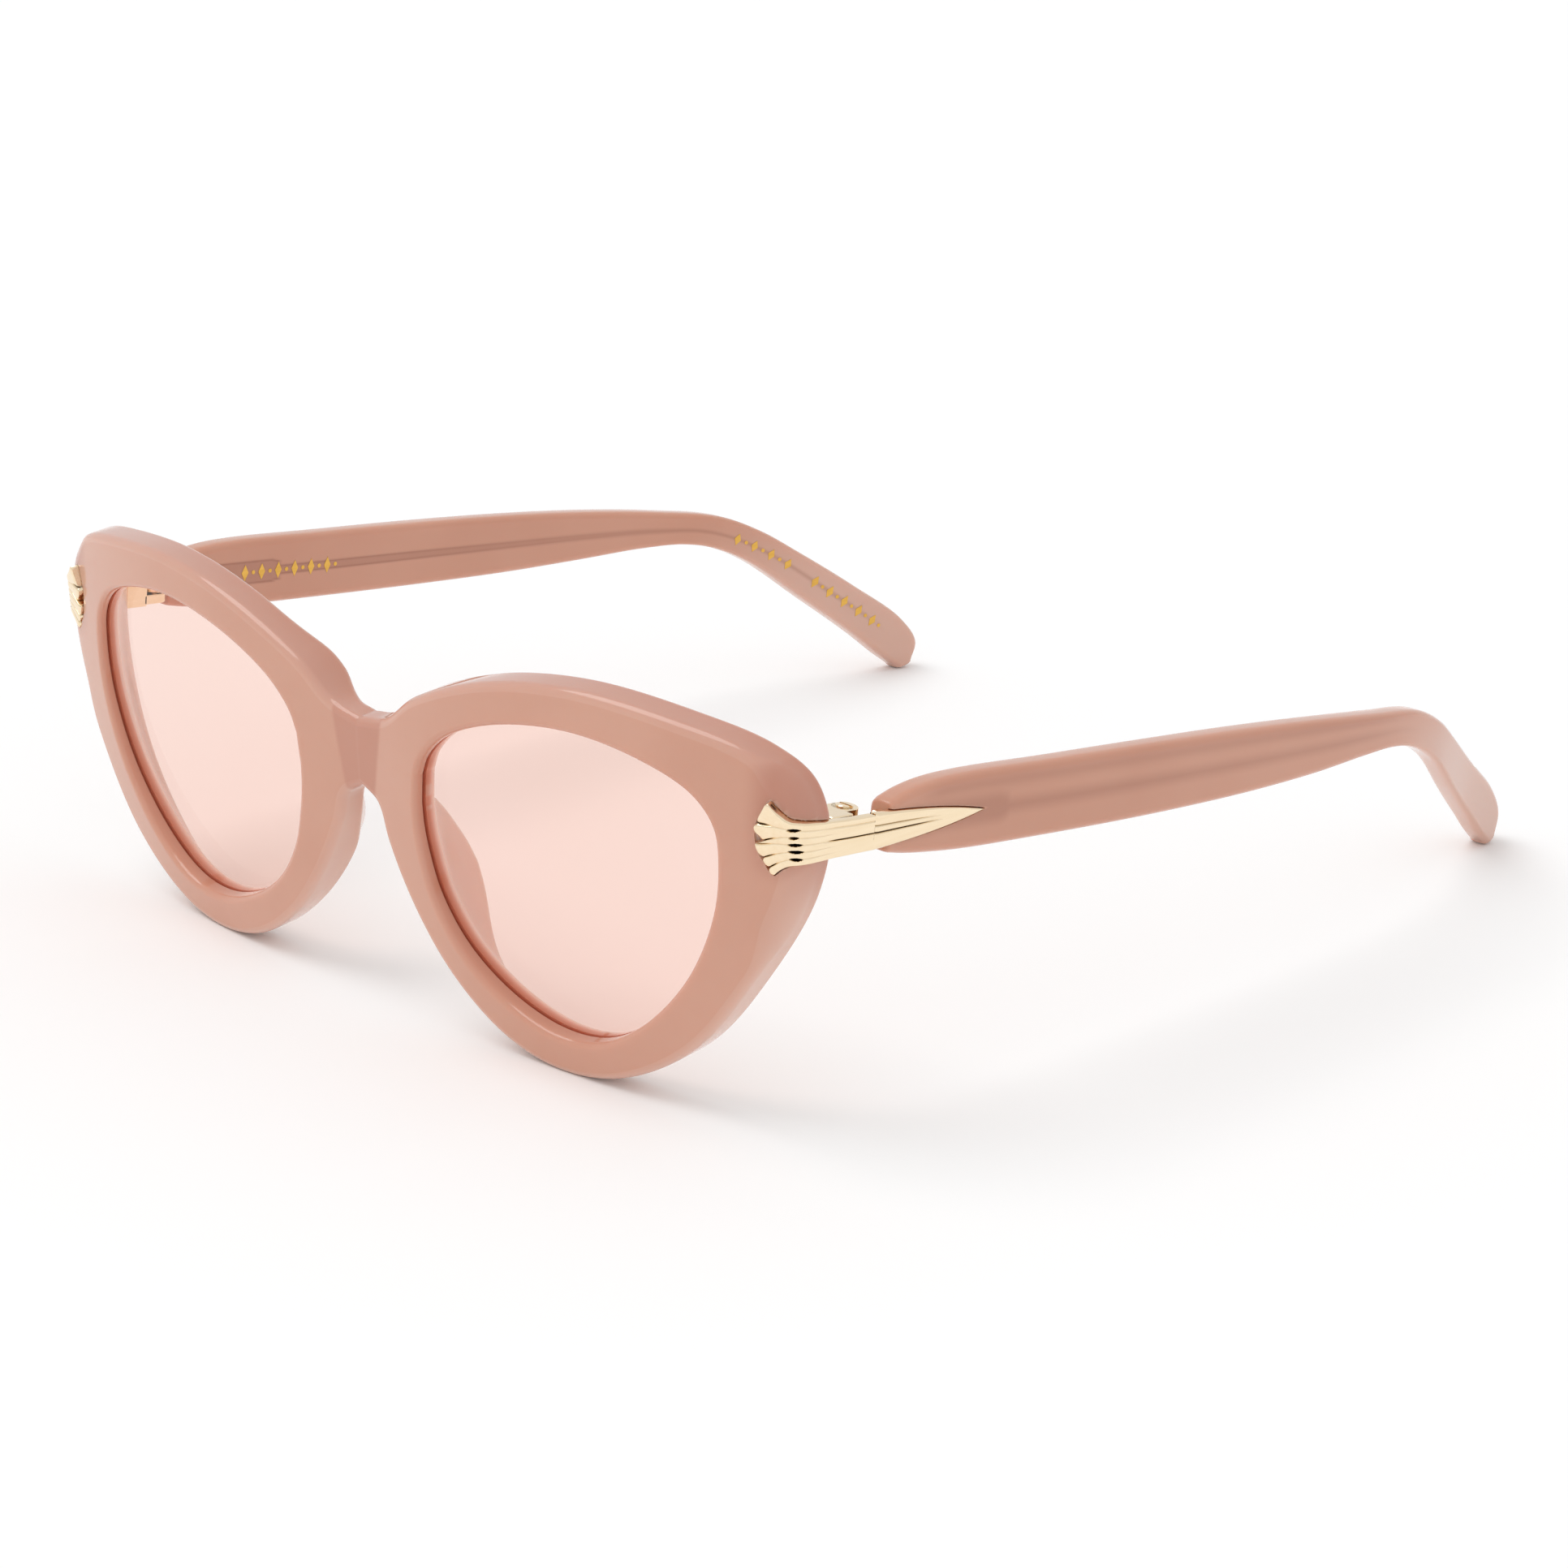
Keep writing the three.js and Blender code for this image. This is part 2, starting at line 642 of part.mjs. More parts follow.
// A flat wire along the middle of the temple, from where it leaves the shoe
function wire(width, thickness, from, to, steps) {
  const loops = [];
  for (let i = 0; i <= steps; i += 1) {
    const t = THREE.MathUtils.lerp(from, to, i / steps);
    const at = templeMiddle(t);
    const ahead = templeMiddle(Math.min(t + 0.01, 1)).sub(at).normalize();
    const side = new THREE.Vector3(1, 0, 0);
    const up = new THREE.Vector3().crossVectors(side, ahead).normalize();
    loops.push([[1, 1], [-1, 1], [-1, -1], [1, -1]].map(([a, b]) => at.clone()
      .addScaledVector(side, (a * thickness) / 2).addScaledVector(up, (b * width) / 2)));
  }
  return loft(loops, false);
}

function templeCore() {
  return wire(WIRE_WIDTH, WIRE_THICKNESS, WIRE_START, WIRE_END, 26);
}

function coreChannel() {
  return wire(WIRE_WIDTH + 2 * CLEARANCE, WIRE_THICKNESS + 2 * CLEARANCE, WIRE_START - 0.03, WIRE_END + 0.005, 26);
}

function shoeShape(from, to, width) {
  const half = width / 2;
  const shape = new THREE.Shape();
  shape.moveTo(from, -half);
  shape.lineTo(to - half, -half);
  shape.absarc(to - half, 0, half, -Math.PI / 2, Math.PI / 2, false);
  shape.lineTo(from, half);
  shape.closePath();
  return shape;
}

function shoePocket() {
  const reach = SHOE_THICKNESS / 2 + CLEARANCE;
  return plate(shoeShape(0, SHOE_LENGTH + CLEARANCE, SHOE_WIDTH + 2 * CLEARANCE), SHOE_X - reach, SHOE_X + reach);
}

function templeRivet(along) {
  return bar("x", PIN_RADIUS, 2.3, [PLAQUE_SIDE_X - PLAQUE_THICKNESS - CLEARANCE - 2.3, along, 0], PIN_SIDES);
}

function templeRivetHole(along) {
  return bar("x", PIN_RADIUS + CLEARANCE, 3.2, [65.7, along, 0], PIN_SIDES);
}

function temple() {
  const cutters = [templePlaqueSeat(), shoePocket(), coreChannel(), templeFloorCutter()];
  for (const along of Object.values(RIVET_PLACES)) cutters.push(templeRivetHole(along));
  let body = solid(templeBlank());
  for (const cutter of cutters) body = body.subtract(solid(cutter));
  return geometryFrom(body);
}

// The level flat that the temple's tip stands on, as a block to take away in the temple's own frame
function templeFloorCutter() {
  const block = box(0, 100, -60, 100, -20, 0);
  block.translate(0, -PIVOT_Y, -PIVOT_Z);
  return block.rotateX(TEMPLE_DROP);
}

// ---- hinge ----

function knuckle(from, to) {
  return solid(bar("z", KNUCKLE_RADIUS, to - from, [PIVOT_X, 0, from], HINGE_SIDES));
}

function hingeBore(radius, from, to) {
  return solid(bar("z", radius, to - from, [PIVOT_X, 0, from], HINGE_SIDES));
}

function leafTongue(grow) {
  return box(64.6 - grow, 67.1 + grow, LEAF_FRONT - TONGUE_LENGTH - grow, LEAF_FRONT + 0.5 + grow * 4,
    -TONGUE_HALF_HEIGHT - grow, TONGUE_HALF_HEIGHT + grow);
}

function hingeFrontLeaf() {
  let body = solid(box(63.35, LEAF_SIDE_X, LEAF_FRONT, LEAF_REAR, -LEAF_HALF_HEIGHT, LEAF_HALF_HEIGHT));
  body = body.add(solid(leafTongue(0)));
  for (const [from, to] of [[-KNUCKLE_TOP, -KNUCKLE_SLOT], [KNUCKLE_SLOT, KNUCKLE_TOP]]) {
    body = body.add(solid(box(63.35, 66.65, LEAF_REAR - 0.5, 0, from, to)));
    body = body.add(knuckle(from, to));
  }
  body = body.subtract(hingeBore(BORE_RADIUS, -KNUCKLE_TOP - 1, KNUCKLE_TOP + 1));
  body = body.subtract(hingeBore(SCREW_HEAD_RADIUS + CLEARANCE, KNUCKLE_TOP - SCREW_HEAD_RECESS, KNUCKLE_TOP + 1));
  for (const side of [-1, 1]) {
    const hole = bar("x", PIN_RADIUS + CLEARANCE, 4, [65.6, STUD_ALONG, side * STUD_HEIGHT], PIN_SIDES);
    body = body.subtract(solid(hole));
  }
  return geometryFrom(body);
}

function leafStud(side) {
  return bar("x", PIN_RADIUS, 2.1, [LEAF_SIDE_X - 2.1, STUD_ALONG, side * STUD_HEIGHT], PIN_SIDES);
}

function hingeTempleLeaf() {
  const reach = KNUCKLE_SLOT - 0.2;
  let body = knuckle(-reach, reach);
  body = body.add(solid(box(PIVOT_X, SHOE_X + SHOE_THICKNESS / 2, 0, 2.6, -reach, reach)));
  const shoe = plate(shoeShape(2.2, SHOE_LENGTH, SHOE_WIDTH), SHOE_X - SHOE_THICKNESS / 2,
    SHOE_X + SHOE_THICKNESS / 2);
  body = body.add(solid(shoe));
  body = body.subtract(hingeBore(BORE_RADIUS, -reach - 1, reach + 1));
  for (const along of Object.values(RIVET_PLACES)) {
    body = body.subtract(solid(bar("x", PIN_RADIUS + CLEARANCE, 6, [64, along, 0], PIN_SIDES)));
  }
  return geometryFrom(body);
}

function hingeScrew() {
  const seat = KNUCKLE_TOP - SCREW_HEAD_RECESS + 0.1;
  const shank = hingeBore(SCREW_RADIUS, -KNUCKLE_TOP + 0.2, seat + 0.2);
  const head = hingeBore(SCREW_HEAD_RADIUS, seat, seat + SCREW_HEAD_HEIGHT);
  const slot = box(PIVOT_X - 2, PIVOT_X + 2, -SCREW_SLOT_WIDTH / 2, SCREW_SLOT_WIDTH / 2, seat + 0.3, seat + 2);
  return geometryFrom(shank.add(head).subtract(solid(slot)));
}

// ---- pins under the fans ----

function fanPin(z) {
  const from = faceY(FAN_PIN_X, z) + FAN_PIN_DEPTH;
  return bar("y", PIN_RADIUS, FAN_PIN_LENGTH, [FAN_PIN_X, from, z], PIN_SIDES);
}

function fanPinHole(z) {
  const length = 1 + FAN_PIN_DEPTH + FAN_PIN_LENGTH + CLEARANCE;
  return bar("y", PIN_RADIUS + CLEARANCE, length, [FAN_PIN_X, faceY(FAN_PIN_X, z) - 1, z], PIN_SIDES);
}

// ---- assembly ----

const glasses = new THREE.Group();
const front = new THREE.Group();
front.position.set(0, FRONT_Y, FRONT_Z);
front.rotation.x = FRONT_LEAN;
glasses.add(front);
const temples = new THREE.Group();
temples.position.set(0, PIVOT_Y, PIVOT_Z);
temples.rotation.x = -TEMPLE_DROP;
glasses.add(temples);

function put(group, name, geometry, material) {
  const mesh = new THREE.Mesh(geometry, material);
  mesh.name = name;
  group.add(mesh);
}

function putPair(group, name, geometry, material, ending = "") {
  put(group, `${name}_left${ending}`, geometry, material);
  put(group, `${name}_right${ending}`, mirrored(geometry), material);
}

// From the temple's frame, in which the hinge is drawn, to the front's frame
function hingeToFront(geometry) {
  const toWorld = new THREE.Matrix4().makeRotationX(-TEMPLE_DROP).setPosition(0, PIVOT_Y, PIVOT_Z);
  const toFront = new THREE.Matrix4().makeRotationX(FRONT_LEAN).setPosition(0, FRONT_Y, FRONT_Z).invert();
  return geometry.applyMatrix4(toFront.multiply(toWorld));
}

const frontCutters = [frontPlaqueSeat(), floorCutter(), hingeToFront(leafTongue(CLEARANCE))];
for (const z of Object.values(FAN_PINS)) frontCutters.push(fanPinHole(z));
put(front, "front_frame", frontFrame(frontCutters), acetate);
putPair(front, "lens", lens(), tint);
putPair(front, "nose_pad", nosePad(), acetate);
putPair(front, "front_plaque", frontPlaque(), gold);
for (const [where, z] of Object.entries(FAN_PINS)) putPair(front, "fan_pin", fanPin(z), steel, `_${where}`);

putPair(temples, "hinge_front_leaf", hingeFrontLeaf(), gold);
putPair(temples, "hinge_screw", hingeScrew(), gold);
putPair(temples, "leaf_stud", leafStud(1), steel, "_upper");
putPair(temples, "leaf_stud", leafStud(-1), steel, "_lower");

putPair(temples, "temple", temple(), acetate);
putPair(temples, "temple_core", templeCore(), steel);
putPair(temples, "hinge_temple_leaf", hingeTempleLeaf(), gold);
putPair(temples, "temple_plaque", templePlaque(), gold);
for (const [where, along] of Object.entries(RIVET_PLACES)) {
  putPair(temples, "temple_rivet", templeRivet(along), steel, `_${where}`);
}

export default glasses;
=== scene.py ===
"""Cat eye sunglasses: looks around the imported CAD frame. Shapes are worked out in millimetres."""
import math

import bmesh
import bpy
import numpy as np
from mathutils import Matrix, Vector


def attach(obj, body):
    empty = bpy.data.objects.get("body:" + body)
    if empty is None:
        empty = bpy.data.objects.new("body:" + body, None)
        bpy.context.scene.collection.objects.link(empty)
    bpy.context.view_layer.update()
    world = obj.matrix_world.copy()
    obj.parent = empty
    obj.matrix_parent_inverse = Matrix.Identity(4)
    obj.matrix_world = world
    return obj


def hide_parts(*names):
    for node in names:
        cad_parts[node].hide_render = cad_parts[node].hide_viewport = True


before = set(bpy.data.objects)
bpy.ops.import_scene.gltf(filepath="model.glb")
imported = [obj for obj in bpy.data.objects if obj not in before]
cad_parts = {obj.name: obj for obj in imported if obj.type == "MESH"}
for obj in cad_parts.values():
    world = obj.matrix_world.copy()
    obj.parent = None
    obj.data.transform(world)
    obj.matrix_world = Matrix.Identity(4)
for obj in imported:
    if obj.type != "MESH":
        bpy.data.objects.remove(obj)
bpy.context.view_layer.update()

MM = 0.001
WELD = 1e-6
SLIVER = 1e-7
# The front leans forward about its own origin, and each temple drops to the rear from its hinge pivot
FRONT_LEAN = math.radians(7)
FRONT_Y, FRONT_Z = -67.45, -2.6
TEMPLE_DROP = math.radians(4.8)
PIVOT = np.array([65.0, -61.05, 36.5])


# ---- numbers and curves ----


def smooth(t):
    t = np.clip(t, 0, 1)
    return t * t * (3 - 2 * t)


def mix(a, b, t):
    return a + (b - a) * t


def bow(a, b, c, t):
    """A quadratic Bezier curve from a to c, pulled towards b."""
    return (1 - t) ** 2 * a + 2 * t * (1 - t) * b + t * t * c


def bell(x, middle, spread):
    return np.exp(-(((x - middle) / spread) ** 2))


def curve(points, t):
    """A centripetal Catmull-Rom curve through the points, at shares t of its whole run of knots."""
    p = np.asarray(points, float)
    t = np.atleast_1d(np.asarray(t, float))
    count = len(p)
    q = np.vstack([2 * p[0] - p[1], p, 2 * p[-1] - p[-2]])
    u = (count - 1) * np.clip(t, 0, 1)
    i = np.minimum(np.floor(u).astype(int), count - 2)
    w = (u - i)[:, None]
    p0, p1, p2, p3 = q[i], q[i + 1], q[i + 2], q[i + 3]

    def gap(a, b):
        return (((a - b) ** 2).sum(1) ** 0.25)[:, None]

    d0, d1, d2 = gap(p0, p1), gap(p1, p2), gap(p2, p3)
    t1 = ((p1 - p0) / d0 - (p2 - p0) / (d0 + d1) + (p2 - p1) / d1) * d1
    t2 = ((p2 - p1) / d1 - (p3 - p1) / (d1 + d2) + (p3 - p2) / d2) * d1
    return p1 + t1 * w + (-3 * p1 + 3 * p2 - 2 * t1 - t2) * w**2 + (2 * p1 - 2 * p2 + t1 + t2) * w**3


def slope(points, t):
    """Unit tangent of the curve at shares t."""
    nudge = 1e-4
    d = curve(points, np.minimum(t + nudge, 1)) - curve(points, np.maximum(t - nudge, 0))
    return d / np.linalg.norm(d, axis=1)[:, None]


def from_front(p):
    """From the front's own frame, which leans forward, to the row frame."""
    c, s = math.cos(FRONT_LEAN), math.sin(FRONT_LEAN)
    x, y, z = np.moveaxis(np.asarray(p, float), -1, 0)
    return np.stack([x, FRONT_Y + y * c - z * s, FRONT_Z + y * s + z * c], -1)


def from_temple(p):
    """From a temple's own frame (across, along, up), which drops to the rear, to the row frame."""
    c, s = math.cos(TEMPLE_DROP), math.sin(TEMPLE_DROP)
    x, u, w = np.moveaxis(np.asarray(p, float), -1, 0)
    return np.stack([x, PIVOT[1] + u * c + w * s, PIVOT[2] - u * s + w * c], -1)


def on_floor(points):
    """Flattens the little that would reach below the floor."""
    points[:, 2] = np.maximum(points[:, 2], 0)
    return points


# ---- meshes ----


def grid_faces(rows, columns, close_rows=False, close_columns=False, start=0):
    faces = []
    for i in range(rows if close_rows else rows - 1):
        for j in range(columns if close_columns else columns - 1):
            i2, j2 = (i + 1) % rows, (j + 1) % columns
            faces.append([start + i * columns + j, start + i2 * columns + j,
                          start + i2 * columns + j2, start + i * columns + j2])
    return faces


def cap(start, count):
    return list(range(start, start + count))


def loft(loops):
    """A skin round equal loops of points, with an end face at each end."""
    loops = np.asarray(loops, float)
    rows, columns = loops.shape[:2]
    faces = grid_faces(rows, columns, close_columns=True)
    faces += [cap(0, columns), cap((rows - 1) * columns, columns)]
    return loops.reshape(-1, 3), faces


def joined(parts):
    points, faces, start = [], [], 0
    for p, f in parts:
        points.append(np.asarray(p, float))
        faces += [[start + k for k in face] for face in f]
        start += len(p)
    return np.vstack(points), faces


def mirrored(shape):
    points, faces = shape
    return np.asarray(points) * [-1, 1, 1], faces


def make(name, shape, material, body=None, replaces=(), sharp=32, values=None):
    """A mesh object from points in millimetres and faces, with its seams welded and its normals outwards."""
    points, faces = shape
    mesh = bpy.data.meshes.new(name)
    mesh.from_pydata((np.asarray(points) * MM).tolist(), [], faces)
    for key, data in (values or {}).items():
        layer = mesh.attributes.new(key, "FLOAT", "POINT")
        layer.data.foreach_set("value", np.asarray(data, np.float32))
    bm = bmesh.new()
    bm.from_mesh(mesh)
    bmesh.ops.remove_doubles(bm, verts=bm.verts, dist=WELD)
    bmesh.ops.dissolve_degenerate(bm, edges=bm.edges, dist=SLIVER)
    bmesh.ops.recalc_face_normals(bm, faces=bm.faces)
    bm.to_mesh(mesh)
    bm.free()
    finish_shading(mesh, sharp)
    piece = bpy.data.objects.new(name, mesh)
    bpy.context.scene.collection.objects.link(piece)
    if material:
        mesh.materials.append(material)
    if body:
        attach(piece, body)
    if replaces:
        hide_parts(*replaces)
    return piece


def finish_shading(mesh, sharp):
    mesh.polygons.foreach_set("use_smooth", [True] * len(mesh.polygons))
    mesh.set_sharp_from_angle(angle=math.radians(sharp))
    mesh.update()


def carve(piece, shapes, sharp=32):
    """Cuts closed shapes out of a piece and keeps the result as its mesh."""
    for shape in shapes:
        cutter = make("cutter", shape, None)
        tool = piece.modifiers.new("cut", "BOOLEAN")
        tool.operation = "DIFFERENCE"
        tool.solver = "EXACT"
        tool.object = cutter
        bpy.context.view_layer.update()
        seen = piece.evaluated_get(bpy.context.evaluated_depsgraph_get())
        mesh = bpy.data.meshes.new_from_object(seen)
        piece.modifiers.remove(tool)
        bpy.data.objects.remove(cutter)
        piece.data = mesh
    finish_shading(piece.data, sharp)


# ---- materials ----


class Nodes:
    """A short way to write a material's node tree."""

    def __init__(self, name):
        self.material = bpy.data.materials.new(name)
        self.material.use_nodes = True
        self.tree = self.material.node_tree
        self.tree.nodes.clear()
        self.output = self.add("ShaderNodeOutputMaterial")

    def add(self, kind, settings=None, **inputs):
        node = self.tree.nodes.new(kind)
        for key, value in (settings or {}).items():
            setattr(node, key, value)
        for key, value in inputs.items():
            self.put(node.inputs[key.replace("_", " ")], value)
        return node

    def put(self, socket, value):
        if isinstance(value, bpy.types.NodeSocket):
            self.tree.links.new(value, socket)
        else:
            socket.default_value = value

    def place(self, scale=(1, 1, 1)):
        spot = self.add("ShaderNodeTexCoord").outputs["Object"]
        mapping = self.add("ShaderNodeMapping", Vector=spot)
        mapping.inputs["Scale"].default_value = scale
        return mapping.outputs["Vector"]

    def noise(self, size, detail=3.0, scale=(1, 1, 1)):
        """Noise whose lumps are about size millimetres across."""
        return self.add("ShaderNodeTexNoise", Vector=self.place(scale), Scale=1000 / size,
                        Detail=detail).outputs["Fac"]

    def fit(self, value, from_low, from_high, to_low, to_high, soft=False):
        node = self.add("ShaderNodeMapRange", {"interpolation_type": "SMOOTHSTEP" if soft else "LINEAR"},
                        Value=value)
        for key, number in zip(("From Min", "From Max", "To Min", "To Max"),
                               (from_low, from_high, to_low, to_high)):
            node.inputs[key].default_value = number
        return node.outputs["Result"]

    def maths(self, operation, a, b):
        node = self.add("ShaderNodeMath", {"operation": operation})
        self.put(node.inputs[0], a)
        self.put(node.inputs[1], b)
        return node.outputs[0]

    def blend(self, share, a, b):
        node = self.add("ShaderNodeMix", {"data_type": "RGBA"})
        self.put(node.inputs["Factor"], share)
        self.put(node.inputs[6], a)
        self.put(node.inputs[7], b)
        return node.outputs[2]

    def bump(self, height, strength, distance):
        node = self.add("ShaderNodeBump", Height=height, Strength=strength, Distance=distance)
        return node.outputs["Normal"]

    def attribute(self, name):
        return self.add("ShaderNodeAttribute", {"attribute_name": name}).outputs["Fac"]

    def done(self, shader):
        self.tree.links.new(shader, self.output.inputs["Surface"])
        return self.material


def colour(red, green, blue):
    """A colour given as it looks on screen, from 0 to 255, as linear light."""
    linear = [((c / 255 + 0.055) / 1.055) ** 2.4 for c in (red, green, blue)]
    return (*linear, 1.0)


ROSE = colour(206, 153, 130)
ROSE_LIGHT = colour(212, 161, 139)
ROSE_DEEP = colour(198, 139, 116)
# Painted light: mixed in on the lip, pad and edges for light through thin acetate, and on the tails as a
# painted highlight
PAINTED_LIGHT_ROSE = colour(240, 224, 216)
# The temples' colours are a darker, more orange copy of the front's: painted shade for their sides turned
# from the light
TEMPLE_ROSE_SHADED = colour(201, 145, 120)
TEMPLE_LIGHT_SHADED = colour(207, 153, 129)
# Mixed into the temples over the wire core, and as painted shade under their outer top edge
CORE_TONE_AND_PAINTED_SHADE = colour(152, 94, 72)
# Painted shade on the front: between the bridge's creases, at the end pieces, in the groove and on the
# brow's top wall
FRONT_PAINTED_SHADE = colour(184, 120, 98)
PATINA = colour(58, 38, 22)
# How much light of each colour one surface of a lens lets through
LENS_TINT = (0.984, 0.862, 0.819, 1)
LENS_TINT_LIGHT = (0.988, 0.868, 0.828, 1)


def acetate(name, body, lighter, dark_tone):
    """Milky rose acetate, polished. One attribute darkens it with painted shade, and on the temples also
    over the wire core; the other lightens it with painted light for light through thin acetate and
    highlights on the tails.
    """
    n = Nodes(name)
    cloud = n.fit(n.noise(22, 1), 0.35, 0.65, 0, 0.5, True)
    base = n.blend(cloud, body, lighter)
    base = n.blend(n.fit(n.noise(7, 3), 0.4, 0.8, 0, 0.14, True), base, ROSE_DEEP)
    # Painted light and painted shade, read from the mesh's attributes
    base = n.blend(n.attribute("pale"), base, PAINTED_LIGHT_ROSE)
    base = n.blend(n.attribute("deep"), base, dark_tone)
    rough = n.fit(n.noise(5, 4), 0.3, 0.7, 0.07, 0.13)
    wave = n.bump(n.noise(16, 1), 0.03, 0.0004)
    shader = n.add("ShaderNodeBsdfPrincipled", Base_Color=base, Roughness=rough, Normal=wave)
    shader.inputs["IOR"].default_value = 1.49
    shader.inputs["Subsurface Weight"].default_value = 0.35
    shader.inputs["Subsurface Scale"].default_value = 0.002
    shader.inputs["Subsurface Radius"].default_value = (1.0, 0.6, 0.45)
    shader.inputs["Coat Weight"].default_value = 0.25
    shader.inputs["Coat Roughness"].default_value = 0.04
    return n.done(shader.outputs["BSDF"])


def tinted_lens():
    """A pale rose tint that is seen straight through, with a faint gloss."""
    n = Nodes("lens_tint")
    tone = n.blend(n.fit(n.noise(30, 1), 0.3, 0.7, 0, 1), LENS_TINT, LENS_TINT_LIGHT)
    through = n.add("ShaderNodeBsdfTransparent", Color=tone)
    rough = n.fit(n.noise(12, 2), 0.3, 0.7, 0.0, 0.03)
    gloss = n.add("ShaderNodeBsdfGlossy", Color=(1, 0.95, 0.93, 1), Roughness=rough)
    facing = n.add("ShaderNodeLayerWeight").outputs["Facing"]
    share = n.fit(n.maths("POWER", facing, 5), 0, 1, 0.01, 0.6)
    mixed = n.add("ShaderNodeMixShader", Fac=share)
    n.tree.links.new(through.outputs[0], mixed.inputs[1])
    n.tree.links.new(gloss.outputs[0], mixed.inputs[2])
    return n.done(mixed.outputs[0])


def metal(name, light, dark, rough_low, rough_high, brushed=1.0, shade=None):
    """Polished or drawn metal with fine lines along it, and dark patina where the attribute says."""
    n = Nodes(name)
    lines = n.noise(0.5, 2, (1, 0.06, 1))
    base = n.blend(n.fit(lines, 0.3, 0.75, 0, 0.4), light, dark)
    base = n.blend(n.fit(n.noise(6, 3), 0.45, 0.8, 0, 0.2, True), base, dark)
    if shade:
        base = n.blend(n.attribute(shade), base, PATINA)
    rough = n.fit(n.noise(2, 3), 0.3, 0.7, rough_low, rough_high)
    relief = n.bump(lines, 0.12 * brushed, 0.00003)
    shader = n.add("ShaderNodeBsdfPrincipled", Base_Color=base, Roughness=rough, Normal=relief)
    shader.inputs["Metallic"].default_value = 1.0
    return n.done(shader.outputs["BSDF"])


front_acetate = acetate("acetate_front", ROSE, ROSE_LIGHT, FRONT_PAINTED_SHADE)
temple_acetate = acetate("acetate_temple", TEMPLE_ROSE_SHADED, TEMPLE_LIGHT_SHADED, CORE_TONE_AND_PAINTED_SHADE)
lens_tint = tinted_lens()
gold = metal("gold_plating", colour(250, 230, 198), colour(238, 212, 172), 0.10, 0.17, 1.0, "patina")
foil = metal("gold_foil", colour(232, 184, 92), colour(196, 146, 60), 0.30, 0.42, 0.4)
steel = metal("drawn_steel", colour(214, 210, 204), colour(176, 172, 166), 0.28, 0.4)


# ---- the front ----

# Points of the lens opening with the points of the outline beyond them, [x, z, x, z], from the middle of
# the bridge's top edge over the brow and round the lens to the bridge's bottom edge
RIM_PAIRS = np.array([
    [11.6, 36.4, 0.0, 40.8], [12.9, 39.0, 4.8, 41.8], [16.7, 42.4, 11.0, 46.0], [25.5, 46.0, 24.3, 51.0],
    [37.2, 47.7, 38.1, 52.9], [47.4, 46.5, 52.3, 51.8], [54.9, 43.6, 62.4, 49.5], [57.8, 40.2, 67.5, 46.2],
    [58.4, 35.8, 69.4, 40.3], [57.6, 29.5, 67.9, 32.2], [53.7, 20.9, 61.8, 21.4], [46.5, 13.0, 53.3, 11.2],
    [39.5, 9.0, 42.4, 4.8], [32.5, 8.4, 32.9, 3.25], [24.5, 10.8, 23.8, 5.3], [17.6, 15.4, 15.0, 11.2],
    [13.5, 21.1, 8.6, 18.9], [11.8, 26.5, 4.6, 26.0], [11.25, 29.8, 3.0, 30.2], [11.15, 32.5, 0.0, 32.0],
])
OPENING, OUTLINE = RIM_PAIRS[:, :2], RIM_PAIRS[:, 2:]
# Steps along the rim and the bridge, and steps of a section round a corner, over its back and over its face
RIM_STEPS = 380
BRIDGE_STEPS = 30
ROUND_STEPS = 8
BACK_STEPS = 30
FACE_STEPS = 36
# The front's face: the point of its bow furthest forward, its two radii, and the crease by the bridge
FACE_MIDDLE = (20.7, -8.6, 20.6)
FACE_RADII = (143, 193)
CREASE_X, CREASE_Z = 2.7, 30.9
CREASE_SPREAD = 0.19
CREASE_SOFT = 0.35
# Thickness at the bridge and of the rim, and the extra beside the bridge
BRIDGE_THICK = 3.8
RIM_THICK = 4.8
THICKEST_X = 9
# Radii of the section's corners: round the outline, at the end pieces, round the opening and behind
EDGE_ROUND = 1.0
END_ROUND = 2.5
INNER_ROUND = 0.85
REAR_ROUND = 1.0
# The lens groove and the lip behind it, as depths behind the front of the lens's curve
GROOVE_FRONT, GROOVE_REAR = 0.22, 0.8
GROOVE_BOTTOM = (GROOVE_FRONT + GROOVE_REAR) / 2
GROOVE_DEEP = 0.5
GROOVE_FLAT = 0.06
REAR_LIP = 2.4
LIP_ROUND = 0.45
# The lens: the point of its curve furthest forward, its radius, its two faces and its bevelled edge
LENS_MIDDLE = (20.5, -7.3, 26)
LENS_RADIUS = 145
LENS_DEPTHS = (0.3, 1.7)
LENS_BEVEL = 0.4
LENS_EDGE = 0.03
# The nose pad: its highest place, its reach up and down the rim, and where it fades out along x
PAD_Z = 23.8
PAD_REACH_UP, PAD_REACH_DOWN = 9.5, 13.0
PAD_END_X, PAD_FADE = 27, 6
PAD_RISE = 3.9
PAD_CREST = 0.3
PAD_SOFT = 0.15
# How much painted light the pad gets, for light coming through it
PAD_PAINTED_LIGHT = 0.75


def crease_x(z):
    """How far from the middle the crease at a side of the bridge is."""
    return CREASE_X + (z - CREASE_Z) * CREASE_SPREAD


def face_y(x, z):
    """Depth of the front's face: bent about each eye, with a crease at each side of the bridge."""
    crease = crease_x(z)
    away = np.abs(x) - crease
    across = crease + 0.5 * (away + np.sqrt(away * away + CREASE_SOFT**2)) - FACE_MIDDLE[0]
    up = z - FACE_MIDDLE[2]
    return FACE_MIDDLE[1] + across * across / (2 * FACE_RADII[0]) + up**2 / (2 * FACE_RADII[1])


def lens_y(x, z):
    return LENS_MIDDLE[1] + ((x - LENS_MIDDLE[0]) ** 2 + (z - LENS_MIDDLE[2]) ** 2) / (2 * LENS_RADIUS)


def thickness(x):
    rim = RIM_THICK + bell(x, THICKEST_X, 5)
    return mix(BRIDGE_THICK, rim, smooth((x - 2) / 6))


